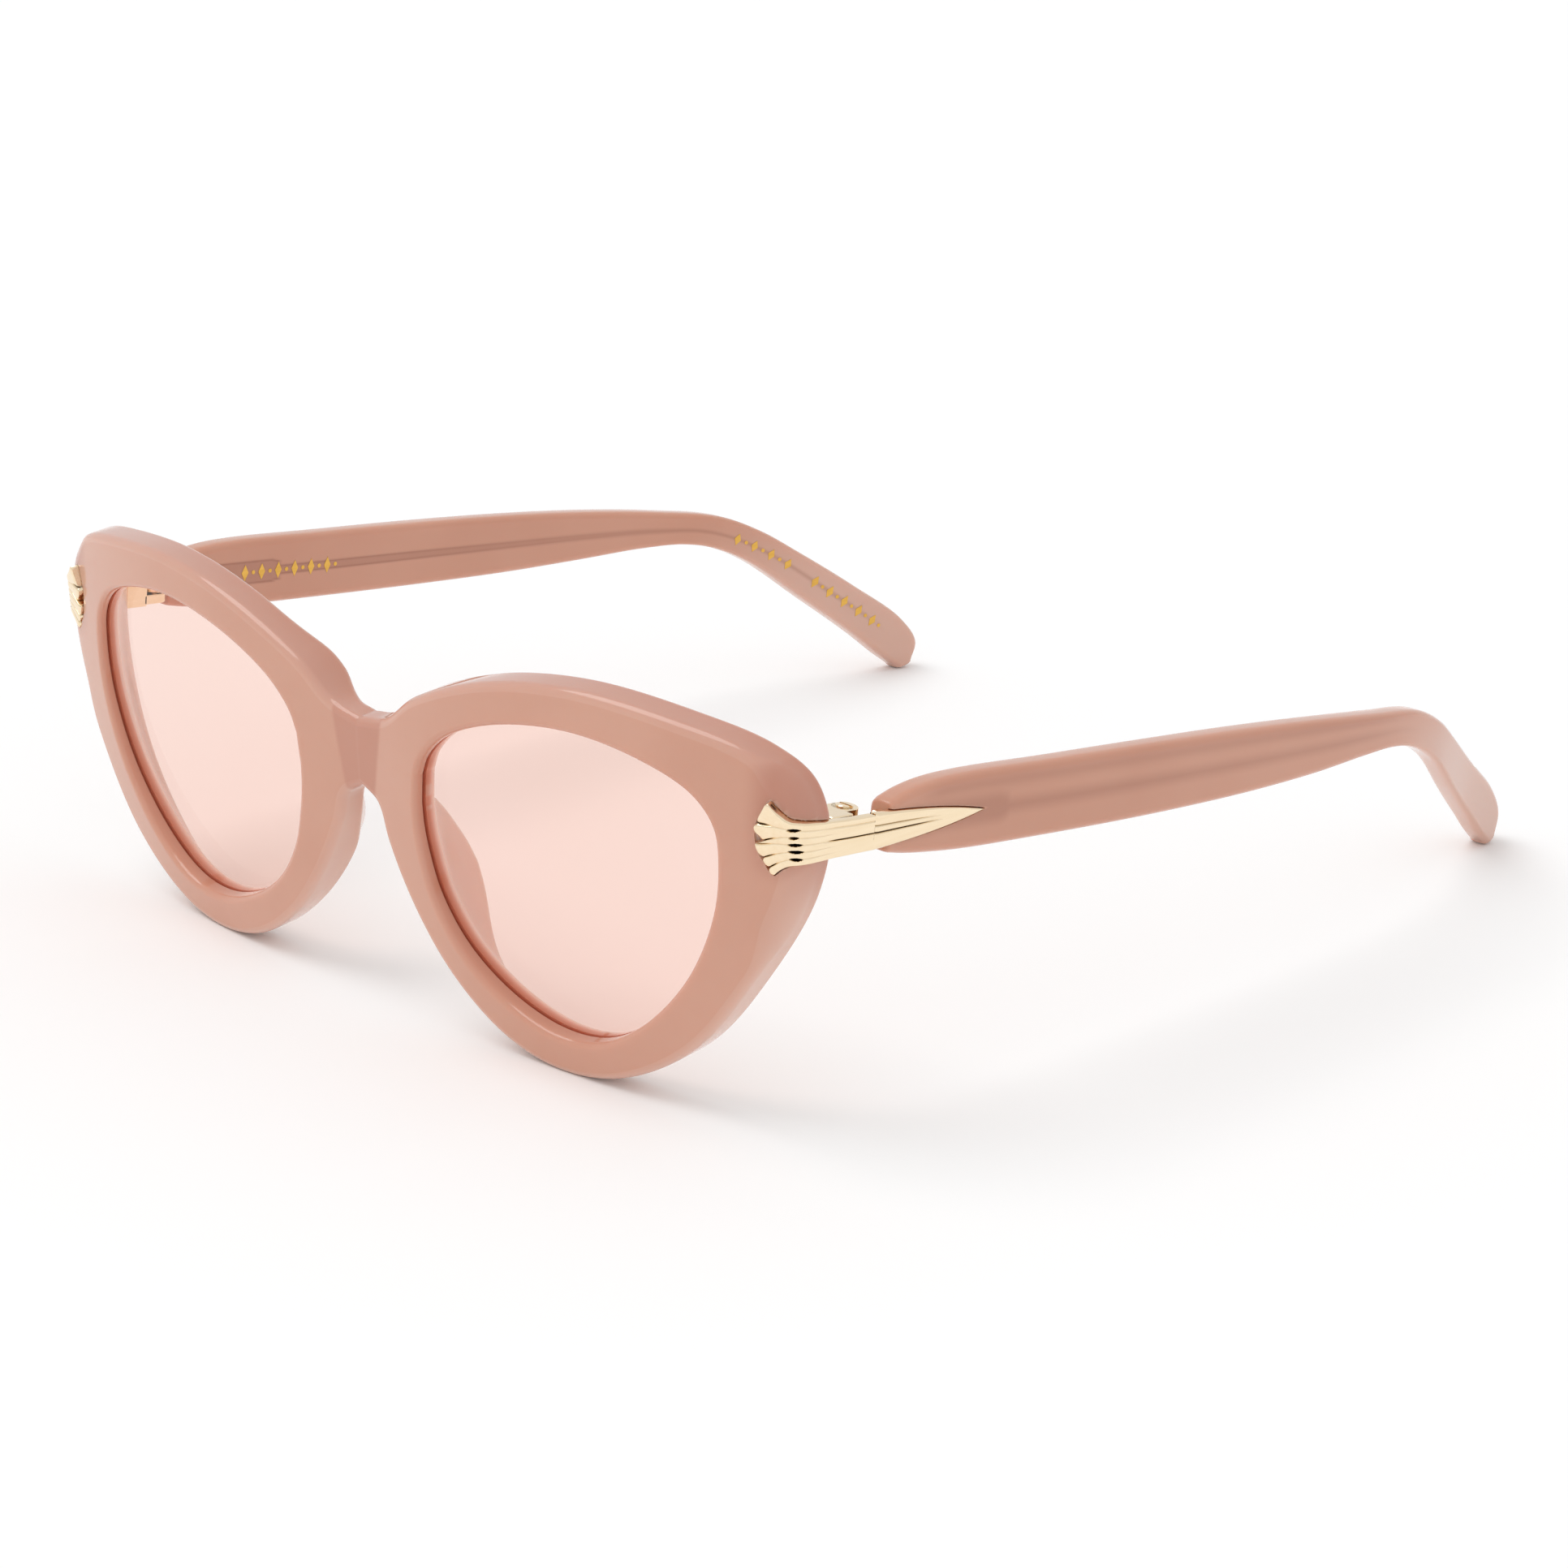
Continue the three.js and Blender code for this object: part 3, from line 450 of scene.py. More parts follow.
def pad_rise(place, share):
    """How far the nose pad stands up behind the rim, at a share of the way from opening to outline."""
    x, z = place
    reach = (z - PAD_Z) / (PAD_REACH_UP if z > PAD_Z else PAD_REACH_DOWN)
    height = PAD_RISE * max(1 - reach * reach, 0) ** 1.3 * float(smooth((PAD_END_X - x) / PAD_FADE))
    down = max(share - PAD_CREST, 0) / (1 - PAD_CREST)
    whole = math.hypot(1, PAD_SOFT)
    downhill = (whole - math.hypot(down, PAD_SOFT)) / (whole - PAD_SOFT)
    return height * float(smooth(share / PAD_CREST)) * downhill


def painted_shade_spots(x, z):
    """Painted shade on the front: darker between the creases of the bridge and at the end pieces."""
    bridge = smooth((crease_x(z) - np.abs(x)) / 0.7 + 0.5) * smooth((z - 29) / 1.5)
    end = smooth((np.abs(x) - 61.5) / 4) * smooth((z - 34) / 5)
    return np.clip(0.55 * bridge + 0.7 * end, 0, 1)


def section_painted_shade(height):
    """Painted shade across a section, in the order of rim_section: darker in its groove and on the brow's
    top wall.
    """
    fall = np.linspace(0.6, 0, ROUND_STEPS) * float(smooth((height - 30) / 8))
    inner_corner, groove = np.linspace(0, 0.3, ROUND_STEPS), [0.6, 1, 1, 0.5]
    lip_and_back, face = np.zeros(ROUND_STEPS + BACK_STEPS - 2), np.zeros(FACE_STEPS - 2)
    return np.concatenate([inner_corner, groove, lip_and_back, fall[::-1], fall, face])


def section_painted_light(inner, outer):
    """Painted light across a section, in the order of rim_section: paler on the lip, pad and edges, for
    light through the thin acetate.
    """
    shares = np.linspace(0, 1, BACK_STEPS)[1:-1]
    pad = np.array([pad_rise(mix(inner, outer, share), share) for share in shares]) / PAD_RISE
    back = np.maximum(mix(1, 0.1, shares), PAD_PAINTED_LIGHT * pad)
    corner_and_groove, lip = np.zeros(ROUND_STEPS + 4), np.ones(ROUND_STEPS)
    rear_corner, edge = np.full(ROUND_STEPS, 0.1), np.linspace(0.3, 0.07, ROUND_STEPS)
    return np.concatenate([corner_and_groove, lip, back, rear_corner, edge, np.zeros(FACE_STEPS - 2)])


def rim_stations():
    """Where the sections stand: a point of the opening and of the outline, and the way into the rim."""
    t = np.linspace(0, 1, RIM_STEPS + 1)
    inner, outer = curve(OPENING, t), curve(OUTLINE, t)
    turn_in, turn_out = slope(OPENING, t), slope(OUTLINE, t)
    inner_in = np.stack([-turn_in[:, 1], turn_in[:, 0]], 1)
    outer_in = np.stack([turn_out[:, 1], -turn_out[:, 0]], 1)
    upright = np.stack([0 * t, np.where(t < 0.5, -1.0, 1.0)], 1)
    near = smooth(outer[:, 0] / 1.5)[:, None]
    outer_in = mix(upright, outer_in, near)
    outer_in /= np.linalg.norm(outer_in, axis=1)[:, None]
    stations = [(inner[i], outer[i], inner_in[i], outer_in[i]) for i in range(len(t))]
    inset = EDGE_ROUND + 0.02
    low, high = OUTLINE[-1] + [0, inset], OUTLINE[0] - [0, inset]
    for share in np.linspace(0, 1, BRIDGE_STEPS + 1)[1:-1]:
        stations.append((mix(OPENING[-1], OPENING[0], share), mix(low, high, share),
                         np.array([-1.0, 0.0]), np.zeros(2)))
    return stations


def rim_section(inner, outer, inner_in, outer_in):
    """One section: inner corner, groove, lip, back with the pad, rear corner, outer corner and face."""
    quarter = np.linspace(0, math.pi / 2, ROUND_STEPS)
    end = smooth((outer[0] - 62.5) / 4.5) * smooth((outer[1] - 16) / 12)
    edge = mix(EDGE_ROUND, END_ROUND, end)
    thick = thickness(outer[0])
    rows = []

    def face(p, depth):
        rows.append([p[0], face_y(p[0], p[1]) + depth, p[1]])

    def lens(p, depth):
        rows.append([p[0], lens_y(p[0], p[1]) + depth, p[1]])

    def from_inner(inset):
        return inner + inner_in * inset

    def from_outer(inset):
        return outer + outer_in * inset

    for a in quarter:
        face(from_inner(INNER_ROUND * (1 - math.sin(a))), INNER_ROUND * (1 - math.cos(a)))
    lens(inner, GROOVE_FRONT)
    lens(from_inner(GROOVE_DEEP), GROOVE_BOTTOM - GROOVE_FLAT)
    lens(from_inner(GROOVE_DEEP), GROOVE_BOTTOM + GROOVE_FLAT)
    lens(inner, GROOVE_REAR)
    for a in quarter:
        lens(from_inner(LIP_ROUND * (1 - math.cos(a))), REAR_LIP - LIP_ROUND * (1 - math.sin(a)))
    lip, back = from_inner(LIP_ROUND), from_outer(REAR_ROUND)
    lip_depth = lens_y(*lip) + REAR_LIP
    back_depth = face_y(*back) + thick
    for share in np.linspace(0, 1, BACK_STEPS)[1:-1]:
        p = mix(lip, back, share)
        rise = mix(lip_depth, back_depth, smooth(share * 2.2)) + pad_rise(p, share)
        rows.append([p[0], rise, p[1]])
    for a in quarter:
        face(from_outer(REAR_ROUND * (1 - math.sin(a))), thick - REAR_ROUND * (1 - math.cos(a)))
    for a in quarter[::-1]:
        face(from_outer(edge * (1 - math.sin(a))), edge * (1 - math.cos(a)))
    start, stop = from_outer(edge), from_inner(INNER_ROUND)
    for share in np.linspace(0, 1, FACE_STEPS)[1:-1]:
        face(mix(start, stop, share), 0)
    return rows


def front_shape():
    stations = rim_stations()
    loops = np.array([rim_section(*station) for station in stations])
    walls = np.concatenate([section_painted_shade(outer[1]) for _, outer, _, _ in stations])
    pale = np.concatenate([section_painted_light(inner, outer) for inner, outer, _, _ in stations])
    rows, columns = loops.shape[:2]
    points = loops.reshape(-1, 3)
    points[np.abs(points[:, 0]) < WELD, 0] = 0
    faces = [f for f in grid_faces(rows, columns, True, True) if np.abs(points[f, 0]).max() > 0]
    other = (points * [-1, 1, 1], [f[::-1] for f in faces])
    points, faces = joined([(points, faces), other])
    # Painted shade and painted light, handed to the acetate as attributes
    deep = np.maximum(painted_shade_spots(points[:, 0], points[:, 2]), np.tile(walls, 2))
    values = {"deep": deep, "pale": np.tile(pale, 2)}
    return (on_floor(from_front(points)), faces), values


# ---- the front plaque, unrolled round the corner ----

# How far the face turns there, the corner's radius, the side's plane, how proud and how thick the plate is
FACE_TURN = math.radians(18)
CORNER = 4.0
SIDE_X = 70.0
PROUD = 0.6
PLATE = 1.1
SEAT_GAP = 0.1
SEAT_SIDE_GAP = 0.14
PLAQUE_Z = 39.7
SEAM_Y, SEAM_Z = 11.1, 37.8
SIDE_SLOPE = 0.17
ARC = CORNER * (math.pi / 2 - FACE_TURN)
ARC_X = SIDE_X - CORNER
ARC_FROM = ARC_X + CORNER * math.sin(FACE_TURN)
ARC_Y = float(face_y(ARC_FROM, PLAQUE_Z)) - PROUD + CORNER * math.cos(FACE_TURN)
WAIST = 1.2
SEAM_S = ARC + SEAM_Y - ARC_Y - 0.08
# The scalloped edge of the fan from its lower to its upper tip, one row of points for each lobe, [along, up]
LOBES = [
    [[-1.2, -3.5], [-1.5, -3.72], [-1.85, -3.62], [-2.06, -3.3], [-2.02, -2.85]],
    [[-2.02, -2.85], [-2.42, -2.6], [-2.72, -2.15], [-2.68, -1.7]],
    [[-2.68, -1.7], [-3.15, -1.4], [-3.5, -0.8], [-3.68, -0.1]],
    [[-3.68, -0.1], [-3.2, 0.05], [-2.6, 0.3]],
    [[-2.6, 0.3], [-2.95, 0.8], [-3.45, 1.25], [-3.62, 1.8], [-3.3, 2.35]],
    [[-3.3, 2.35], [-2.9, 3.2], [-2.35, 4.1], [-1.95, 4.75], [-1.65, 4.92], [-1.4, 4.75]],
]
PLAIN_LOBES = [[[-1.2, -3.5], [-1.5, -3.72], [-2.06, -3.3], [-2.6, -2.4], [-3.3, -1.4], [-3.68, -0.1],
                [-3.62, 1.8], [-2.9, 3.2], [-1.95, 4.75], [-1.65, 4.92], [-1.4, 4.75]]]
SIDE_EDGES = np.array([[WAIST, -2.3, 2.95], [2.6, -2.1, 2.79], [5.2, -1.75, 2.73], [9.0, -1.8, 2.4],
                       [SEAM_S, -1.93, 2.18]])
# Where the fan's rays bend towards the waist: along, then up at its lower and its upper edge
FAN_BEND = (-0.1, -2.45, 3.35)
LOBE_STEPS = 20
FAN_ROWS = 56
SIDE_ROWS = 96
LOBE_CROWN = 0.16
# Slots scooped between the ribs: height, half length, middle along the plaque and how deep for its width
SCOOPS = ((2.05, 0.8, 1.35, 0.9), (1.12, 0.6, 1.35, 0.8), (0.3, 0.9, 1.45, 1),
          (-0.53, 0.98, 1.5, 1.1), (-1.45, 0.85, 1.5, 1.1))
# Lines engraved along the side: place as a share of its height, width and depth
SIDE_LINES = ((0.49, 0.016, 0.30), (0.83, 0.02, 0.07))


def plaque_path(s):
    """Place, way out and way up of the plaque's outer surface at a distance s along it from the corner."""
    s = np.asarray(s, float)
    share = np.clip(s / ARC, 0, 1)
    turn = mix(FACE_TURN, math.pi / 2, share)
    out = np.stack([np.sin(turn), -np.cos(turn), 0 * s], -1)
    x = ARC_X + CORNER * np.sin(turn)
    y = ARC_Y - CORNER * np.cos(turn)
    x = np.where(s < 0, ARC_FROM + s * math.cos(FACE_TURN), x)
    y = np.where(s < 0, face_y(x, PLAQUE_Z) - PROUD, y + np.maximum(s - ARC, 0))
    z = mix(PLAQUE_Z, SEAM_Z + (SEAM_Y - y) * SIDE_SLOPE, share)
    lean = (FRONT_LEAN + TEMPLE_DROP) * smooth(share)
    up = np.stack([0 * s, np.sin(lean), np.cos(lean)], -1)
    return np.stack([x, y, z], -1), out, up


def fan_edge(lobes, steps):
    shares = np.linspace(0, 1, steps + 1)
    rows = [curve(lobe, shares)[:-1] for lobe in lobes] + [np.array([lobes[-1][-1]], float)]
    return np.vstack(rows)


def plaque_layout(lobes, steps, fan_rows, side_rows, grow=0.0):
    """Unrolled positions of the plaque's grid: from the fan's edge to the waist, then along to the seam."""
    edge = fan_edge(lobes, steps)
    columns = len(edge)
    v = np.linspace(0, 1, columns)
    if grow:
        along = np.gradient(edge, axis=0)
        along /= np.linalg.norm(along, axis=1)[:, None]
        edge = edge + grow * np.stack([-along[:, 1], along[:, 0]], 1)
    low = SIDE_EDGES[:, [0, 1]] - [0, grow]
    high = SIDE_EDGES[:, [0, 2]] + [0, grow]
    t = np.linspace(0, 1, side_rows)
    low, high = curve(low, t), curve(high, t)
    waist = mix(low[0], high[0], v[:, None])
    bend_along, bend_low, bend_high = FAN_BEND
    bend = np.stack([0 * v + bend_along, mix(bend_low - grow, bend_high + grow, v)], 1)
    fan = bow(edge, bend, waist, np.linspace(0, 1, fan_rows)[:, None, None])
    side = mix(low[:, None, :], high[:, None, :], v[None, :, None])
    return np.concatenate([fan, side[1:]]), v


def patina_share(carved):
    """Where a carved depth is dark with patina."""
    return np.clip(-carved / 0.22 - 0.25, 0, 1)


def plaque_relief(layout, v, fan_rows, lobe_count):
    """Height of the plaque's outer surface above its plain shape, and where it is dark."""
    s, b = layout[..., 0], layout[..., 1]
    rows = np.arange(len(layout))[:, None]
    ray = np.clip(rows / (fan_rows - 1), 0, 1)
    local = (v * lobe_count) % 1.0
    valley = np.minimum(local, 1 - local)[None, :]
    arch = np.sqrt(np.clip(np.sin(math.pi * local), 0, 1))[None, :]
    crown = LOBE_CROWN * (arch - 1) * (1 - 0.55 * ray)
    carved = -0.28 * bell(valley, 0, 0.05) * smooth((0.42 - ray) / 0.3)
    for place, half, middle, deep in SCOOPS:
        body = np.clip(1 - ((s - middle) / half) ** 2, 0, 1)
        width = 0.05 + 0.16 * body
        carved = carved - 0.5 * deep * np.sqrt(body) * np.clip(1 - ((b - place) / width) ** 2, 0, 1)
    far = smooth((s - 4.6) / 3.0)
    for place, width, deep in SIDE_LINES:
        carved = carved - deep * bell(v[None, :], place, width) * far
    return crown * (1 - smooth((s - 3) / 6) * 0.75) + carved, patina_share(carved)


def rounded_rim(shape, width=4, drop=0.16):
    """A small drop near the first row and the side edges of a grid, which rounds a plate's edges."""
    rows, columns = shape
    i = np.arange(rows)[:, None]
    j = np.minimum(np.arange(columns), np.arange(columns)[::-1])[None, :]
    near = np.minimum(i, j) / width
    return -drop * np.clip(1 - near, 0, 1) ** 2


def plate_shape(outer, inner):
    """A closed plate from the grid of its outer surface and the grid of its inner surface."""
    rows, columns = outer.shape[:2]
    count = rows * columns
    faces = grid_faces(rows, columns) + [f[::-1] for f in grid_faces(rows, columns, start=count)]
    ring = list(range(columns)) + [i * columns + columns - 1 for i in range(1, rows)]
    ring += [(rows - 1) * columns + j for j in range(columns - 2, -1, -1)]
    ring += [i * columns for i in range(rows - 2, 0, -1)]
    for a, b in zip(ring, ring[1:] + ring[:1]):
        faces.append([a, b, count + b, count + a])
    return np.concatenate([outer.reshape(-1, 3), inner.reshape(-1, 3)]), faces


def outer_only(dark):
    """Patina values for a plate: on its outer grid, and none on its inner one."""
    return {"patina": np.concatenate([dark.ravel(), 0 * dark.ravel()])}


def plaque_shape():
    layout, v = plaque_layout(LOBES, LOBE_STEPS, FAN_ROWS, SIDE_ROWS)
    relief, dark = plaque_relief(layout, v, FAN_ROWS, len(LOBES))
    relief = relief + rounded_rim(layout.shape[:2])
    at, out, up = plaque_path(layout[..., 0])
    surface = at + up * layout[..., 1:]
    points, faces = plate_shape(surface + out * relief[..., None], surface - out * PLATE)
    return (from_front(points), faces), outer_only(dark)


def plaque_seat():
    """The pocket that the front plaque sits in, with a small gap round it."""
    layout, _ = plaque_layout(PLAIN_LOBES, steps=40, fan_rows=14, side_rows=30, grow=SEAT_SIDE_GAP)
    at, out, up = plaque_path(layout[..., 0])
    surface = at + up * layout[..., 1:]
    points, faces = plate_shape(surface + out * 1.5, surface - out * (PLATE + SEAT_GAP))
    return from_front(points), faces


# ---- the spear on each temple ----

SPEAR_FROM = 0.15
# Start, bend and tip of the spear's two bowed edges: along from the pivot, lower edge and upper edge
SPEAR_START, SPEAR_BEND, SPEAR_TIP = 0.3, 11.5, 18.5
SPEAR_LOWER = (-2.2, -1.6, 0.2)
SPEAR_UPPER = (2.05, 1.7, 0.2)
# Lines engraved along it: place as a share of its height, width, depth, and where and how fast each fades
SPEAR_LINES = ((0.475, 0.022, 0.30, 12.5, 6), (0.67, 0.02, 0.16, 12.8, 8))


def spear_edges(u, grow=0.0):
    """Lower and upper edge of the spear at a distance u behind the pivot: two long bowed curves."""
    a = SPEAR_START - 2 * SPEAR_BEND + SPEAR_TIP
    b = 2 * (SPEAR_BEND - SPEAR_START)
    t = np.clip((-b + np.sqrt(b**2 + 4 * a * (u - SPEAR_START))) / (2 * a), 0, 1)
    return bow(*SPEAR_LOWER, t) - grow, bow(*SPEAR_UPPER, t) + grow


def spear_shape():
    rows, columns = 120, 61
    u = SPEAR_FROM + (SPEAR_TIP - SPEAR_FROM) * np.linspace(0, 1, rows)
    v = np.linspace(0, 1, columns)
    low, high = spear_edges(u)
    low[-1], high[-1] = SPEAR_LOWER[2] - 0.02, SPEAR_UPPER[2] + 0.02
    w = mix(low[:, None], high[:, None], v[None, :])
    along = u[:, None] + 0 * w
    carved = 0 * w
    for place, width, deep, fade_at, fade in SPEAR_LINES:
        carved = carved - deep * bell(v[None, :], place, width) * smooth((fade_at - along) / fade)
    crown = -0.10 * (2 * v[None, :] - 1) ** 2
    relief = carved + crown + rounded_rim(w.shape)
    outer = np.stack([SIDE_X + relief, along, w], -1)
    inner = np.stack([0 * w + SIDE_X - PLATE, along, w], -1)
    points, faces = plate_shape(outer, inner)
    return (from_temple(points), faces), outer_only(patina_share(carved))


def spear_seat():
    """The pocket that the spear sits in, with a small gap round it."""
    u = np.linspace(-1.0, SPEAR_TIP, 60)
    low, high = spear_edges(np.maximum(u, SPEAR_START), SEAT_SIDE_GAP)
    tip = [[SPEAR_TIP + 0.25, SPEAR_LOWER[2]]]
    outline = np.concatenate([np.stack([u, low], 1), tip, np.stack([u, high], 1)[::-1]])
    loops = [np.insert(outline, 0, x, axis=1) for x in (SIDE_X - PLATE - SEAT_GAP, SIDE_X + 2)]
    points, faces = loft(loops)
    return from_temple(points), faces


# ---- temples ----

# Upper and lower edge of a temple, [along, up, along, up] from the pivot
TEMPLE_PAIRS = np.array([
    [3.2, 2.8, 3.2, -3.2], [6.2, 3.8, 6.2, -3.7], [10, 4.5, 10, -4.1], [16, 4.8, 16, -4.5],
    [30, 4.6, 30, -4.75], [48, 4.35, 48, -4.85], [66, 3.9, 66, -4.65], [82, 3.15, 81, -4.05],
    [96, 2.1, 93, -3.3], [107, 0.85, 100.5, -3.2], [114.4, -1.7, 106.2, -4.1], [121.2, -5.3, 113.3, -6.9],
    [130.8, -10.8, 123.2, -13.3], [140, -16.5, 132.2, -19.2], [143.2, -20.4, 136.7, -22.4],
    [142.6, -23.3, 139.8, -24.35],
])
# The outer face seen from above, [along, across]
TEMPLE_PLAN = np.array([[0, 69.4], [55, 70.5], [92, 69.7], [112, 66.6], [130, 61.1], [146, 57.4]])
PLAN_POINTS = curve(TEMPLE_PLAN, np.linspace(0, 1, 600))
TEMPLE_THICK = 3.5
TEMPLE_STEPS = 220
TEMPLE_CORNER = 1.0
HEAD_ROUND = 0.4
TIP_ROUND = 0.65
# Painted highlight: how much paler each tail gets towards its tip
TIP_PAINTED_HIGHLIGHT = 0.24
# What shows through the acetate: the shoe's end and half height, the wire's half heights and its reach
SHOE_END, SHOE_HALF = 23.0, 1.65
WIRE_HALVES = (0.7, 0.35)
WIRE_SHARE = 0.88
SEEN_DEPTH = 0.42


def temple_x(along):
    """Outer face of the temple in plan."""
    return np.interp(along, PLAN_POINTS[:, 0], PLAN_POINTS[:, 1])


def temple_loop(low, high, narrow):
    """A section between two edge points, and for each point its way off the middle, its share of the height
    and whether it is on the inner side."""
    height = np.linalg.norm(high - low)
    up = (high - low) / height
    half = TEMPLE_THICK / 2 - narrow
    corner = min(TEMPLE_CORNER, height / 2.2, half * 0.95)
    quarter = np.linspace(0, math.pi / 2, 6)
    face = np.linspace(corner, height - corner, 50)[1:-1]
    loop = []
    for x, z, turn in ((half - corner, corner, -1), (half - corner, height - corner, 0),
                       (corner - half, height - corner, 1), (corner - half, corner, 2)):
        for a in quarter + turn * math.pi / 2:
            loop.append([x + corner * math.cos(a), z + corner * math.sin(a)])
        if turn == -1:
            loop += [[half, z] for z in face]
        if turn == 1:
            loop += [[-half, z] for z in face[::-1]]
    loop = np.array(loop)
    place = low + up * loop[:, 1:]
    x = temple_x(place[:, 0]) - TEMPLE_THICK / 2 + loop[:, 0]
    points = np.stack([x, place[:, 0], place[:, 1]], 1)
    return points, np.abs(loop[:, 1] - height / 2), loop[:, 1] / height, loop[:, 0] < 0


def core_and_painted_shade(across, rise, inner, along, share):
    """How much darker the acetate is made: over the wire and its shoe, which show through, and with painted
    shade in a band under the outer top edge.
    """
    rear = float(smooth((along - 20) / 90))
    past = max(along - (SHOE_END - SHOE_HALF), 0) / SHOE_HALF
    shoe = SHOE_HALF * math.sqrt(max(1 - past**2, 0))
    half = max(shoe, mix(*WIRE_HALVES, rear))
    blur = np.where(inner, mix(0.16, 0.5, rear), 0.95)
    seen = SEEN_DEPTH * (1 - smooth((across - half) / (2 * blur) + 0.5))
    lines = bell(across, half - 0.15, 0.13) * (1 - rear) * 0.35
    fade = float(smooth((WIRE_SHARE - share) * 12)) * float(smooth((along - 2) / 4))
    outer_fade = 1 - float(smooth((along - 88) / 22))
    # Painted shade: darker just under the outer top edge
    band = 0.3 * bell(rise, 0.84, 0.09) * float(smooth((along - 6) / 6))
    return np.where(inner, (seen + lines) * fade, (seen * fade + band) * outer_fade)


def temple_stations():
    """Lower and upper edge point, narrowing of each face and share of the length, with both ends rounded."""
    t = np.linspace(0, 1, TEMPLE_STEPS + 1)
    highs, lows = curve(TEMPLE_PAIRS[:, :2], t), curve(TEMPLE_PAIRS[:, 2:], t)
    stations = []
    for share in (1.0, 0.7, 0.35, 0.1):
        inset = HEAD_ROUND * (1 - math.sqrt(1 - share**2))
        ahead = np.array([HEAD_ROUND * (1 - share), 0.0])
        stations.append((lows[0] + ahead + [0, inset], highs[0] + ahead - [0, inset], inset, 0.0))
    start = np.searchsorted(highs[:, 0], highs[0, 0] + HEAD_ROUND * 1.5)
    stations += [(lows[i], highs[i], 0.0, t[i]) for i in range(start, len(t))]
    low, high = lows[-1], highs[-1]
    out = np.array([high[1] - low[1], low[0] - high[0]])
    out /= np.linalg.norm(out)
    for a in np.radians(np.linspace(0, 80, 8)[1:]):
        inset = 1 - math.cos(a)
        middle = (low + high) / 2 + out * TIP_ROUND * math.sin(a)
        half = (high - low) / 2 * (1 - 0.5 * inset)
        stations.append((middle - half, middle + half, 0.9 * inset, 1.0))
    return stations


def temple_shape():
    loops, deep, pale = [], [], []
    for low, high, narrow, share in temple_stations():
        points, across, rise, inner = temple_loop(low, high, narrow)
        along = (low[0] + high[0]) / 2
        loops.append(points)
        deep.append(core_and_painted_shade(across, rise, inner, along, share))
        # Painted highlight, paler towards the tip of the tail
        pale.append(0 * rise + TIP_PAINTED_HIGHLIGHT * float(smooth((along - 100) / 25)))
    points, faces = loft(loops)
    values = {"deep": np.concatenate(deep), "pale": np.concatenate(pale)}
    return (on_floor(from_temple(points)), faces), values


# ---- marks on the temples' inner faces ----

# Rows of marks: where each starts and ends along the temple's middle line, and how tall its lozenges are
MARKS = ((16.5, 32.8, 2.3), (110.0, 120.0, 1.9), (125.6, 139.6, 2.1))
MARK_GAP = 1.45
FOIL_HALF = 0.04


def foil_marks():
    """Rows of small lozenges with dots between them."""
    t = np.linspace(0, 1, 400)
    middle = (curve(TEMPLE_PAIRS[:, :2], t) + curve(TEMPLE_PAIRS[:, 2:], t)) / 2
    length = np.concatenate([[0], np.cumsum(np.linalg.norm(np.diff(middle, axis=0), axis=1))])
    length += middle[0, 0]

    def middle_at(at):
        return np.array([np.interp(at, length, middle[:, 0]), np.interp(at, length, middle[:, 1])])

    parts = []
    for low, high, height in MARKS:
        count = int((high - low) / MARK_GAP)
        for k in range(count + 1):
            at = low + (high - low) * k / count
            place = middle_at(at)
            ahead = middle_at(at + 1) - place
            ahead /= np.linalg.norm(ahead)
            up = np.array([-ahead[1], ahead[0]])
            sides, wide, tall = (12, 0.3, 0.3) if k % 2 else (4, 0.6, height / 2)
            turn = np.linspace(0, 2 * math.pi, sides + 1)[:-1]
            ring = place + ahead * (wide * np.cos(turn))[:, None] + up * (tall * np.sin(turn))[:, None]
            x = temple_x(ring[:, 0]) - TEMPLE_THICK
            loops = [np.stack([x + depth, ring[:, 0], ring[:, 1]], 1) for depth in (-FOIL_HALF, FOIL_HALF)]
            parts.append(loft(loops))
    points, faces = joined(parts)
    return from_temple(points), faces


# ---- hinge ----

BARREL = 1.65
# Heights of the two knuckles on the front leaf, and half the height of the one between them
KNUCKLES = ((-1.85, -0.6), (0.6, 1.85))
MIDDLE_KNUCKLE = 0.4
LEAF_INNER = 63.35
PIN_RADIUS, PIN_LOW, PIN_HIGH = 0.55, -1.7, 1.4
SCREW_HEAD = 1.05
SLOT_HALF = 0.2


def round_bar(radius, low, high, soft=0.12):
    """An upright bar round the origin, with softened ends."""
    turn = np.linspace(0, 2 * math.pi, 41)[:-1]
    loops = []
    for height, inset in ((low, soft), (low + soft, 0), (high - soft, 0), (high, soft)):
        ring = (radius - inset) * np.stack([np.cos(turn), np.sin(turn)], 1)
        loops.append(np.insert(ring, 2, height, axis=1))
    return loft(loops)


def soft_block(x, u, w, soft=0.15):
    """A block between the limits x, u and w, with softened edges along x."""
    loops = []
    for place, inset in ((x[0], soft), (x[0] + soft, 0), (x[1] - soft, 0), (x[1], soft)):
        a, b, c, d = u[0] + inset, u[1] - inset, w[0] + inset, w[1] - inset
        k = soft * 0.8
        loops.append([[place, a + k, c], [place, b - k, c], [place, b, c + k], [place, b, d - k],
                      [place, b - k, d], [place, a + k, d], [place, a, d - k], [place, a, c + k]])
    return loft(loops)


def at_pivot(shape):
    points, faces = shape
    return points + [PIVOT[0], 0, 0], faces


def in_row_frame(parts):
    points, faces = joined(parts)
    return from_temple(points), faces


def front_leaf_shape():
    parts = [soft_block((LEAF_INNER, 68.6), (-5.6, -2.15), (-2.1, 2.1))]
    for low, high in KNUCKLES:
        parts.append(soft_block((LEAF_INNER, PIVOT[0] + BARREL), (-2.6, 0.0), (low, high), 0.1))
        parts.append(at_pivot(round_bar(BARREL, low, high)))
    return in_row_frame(parts)


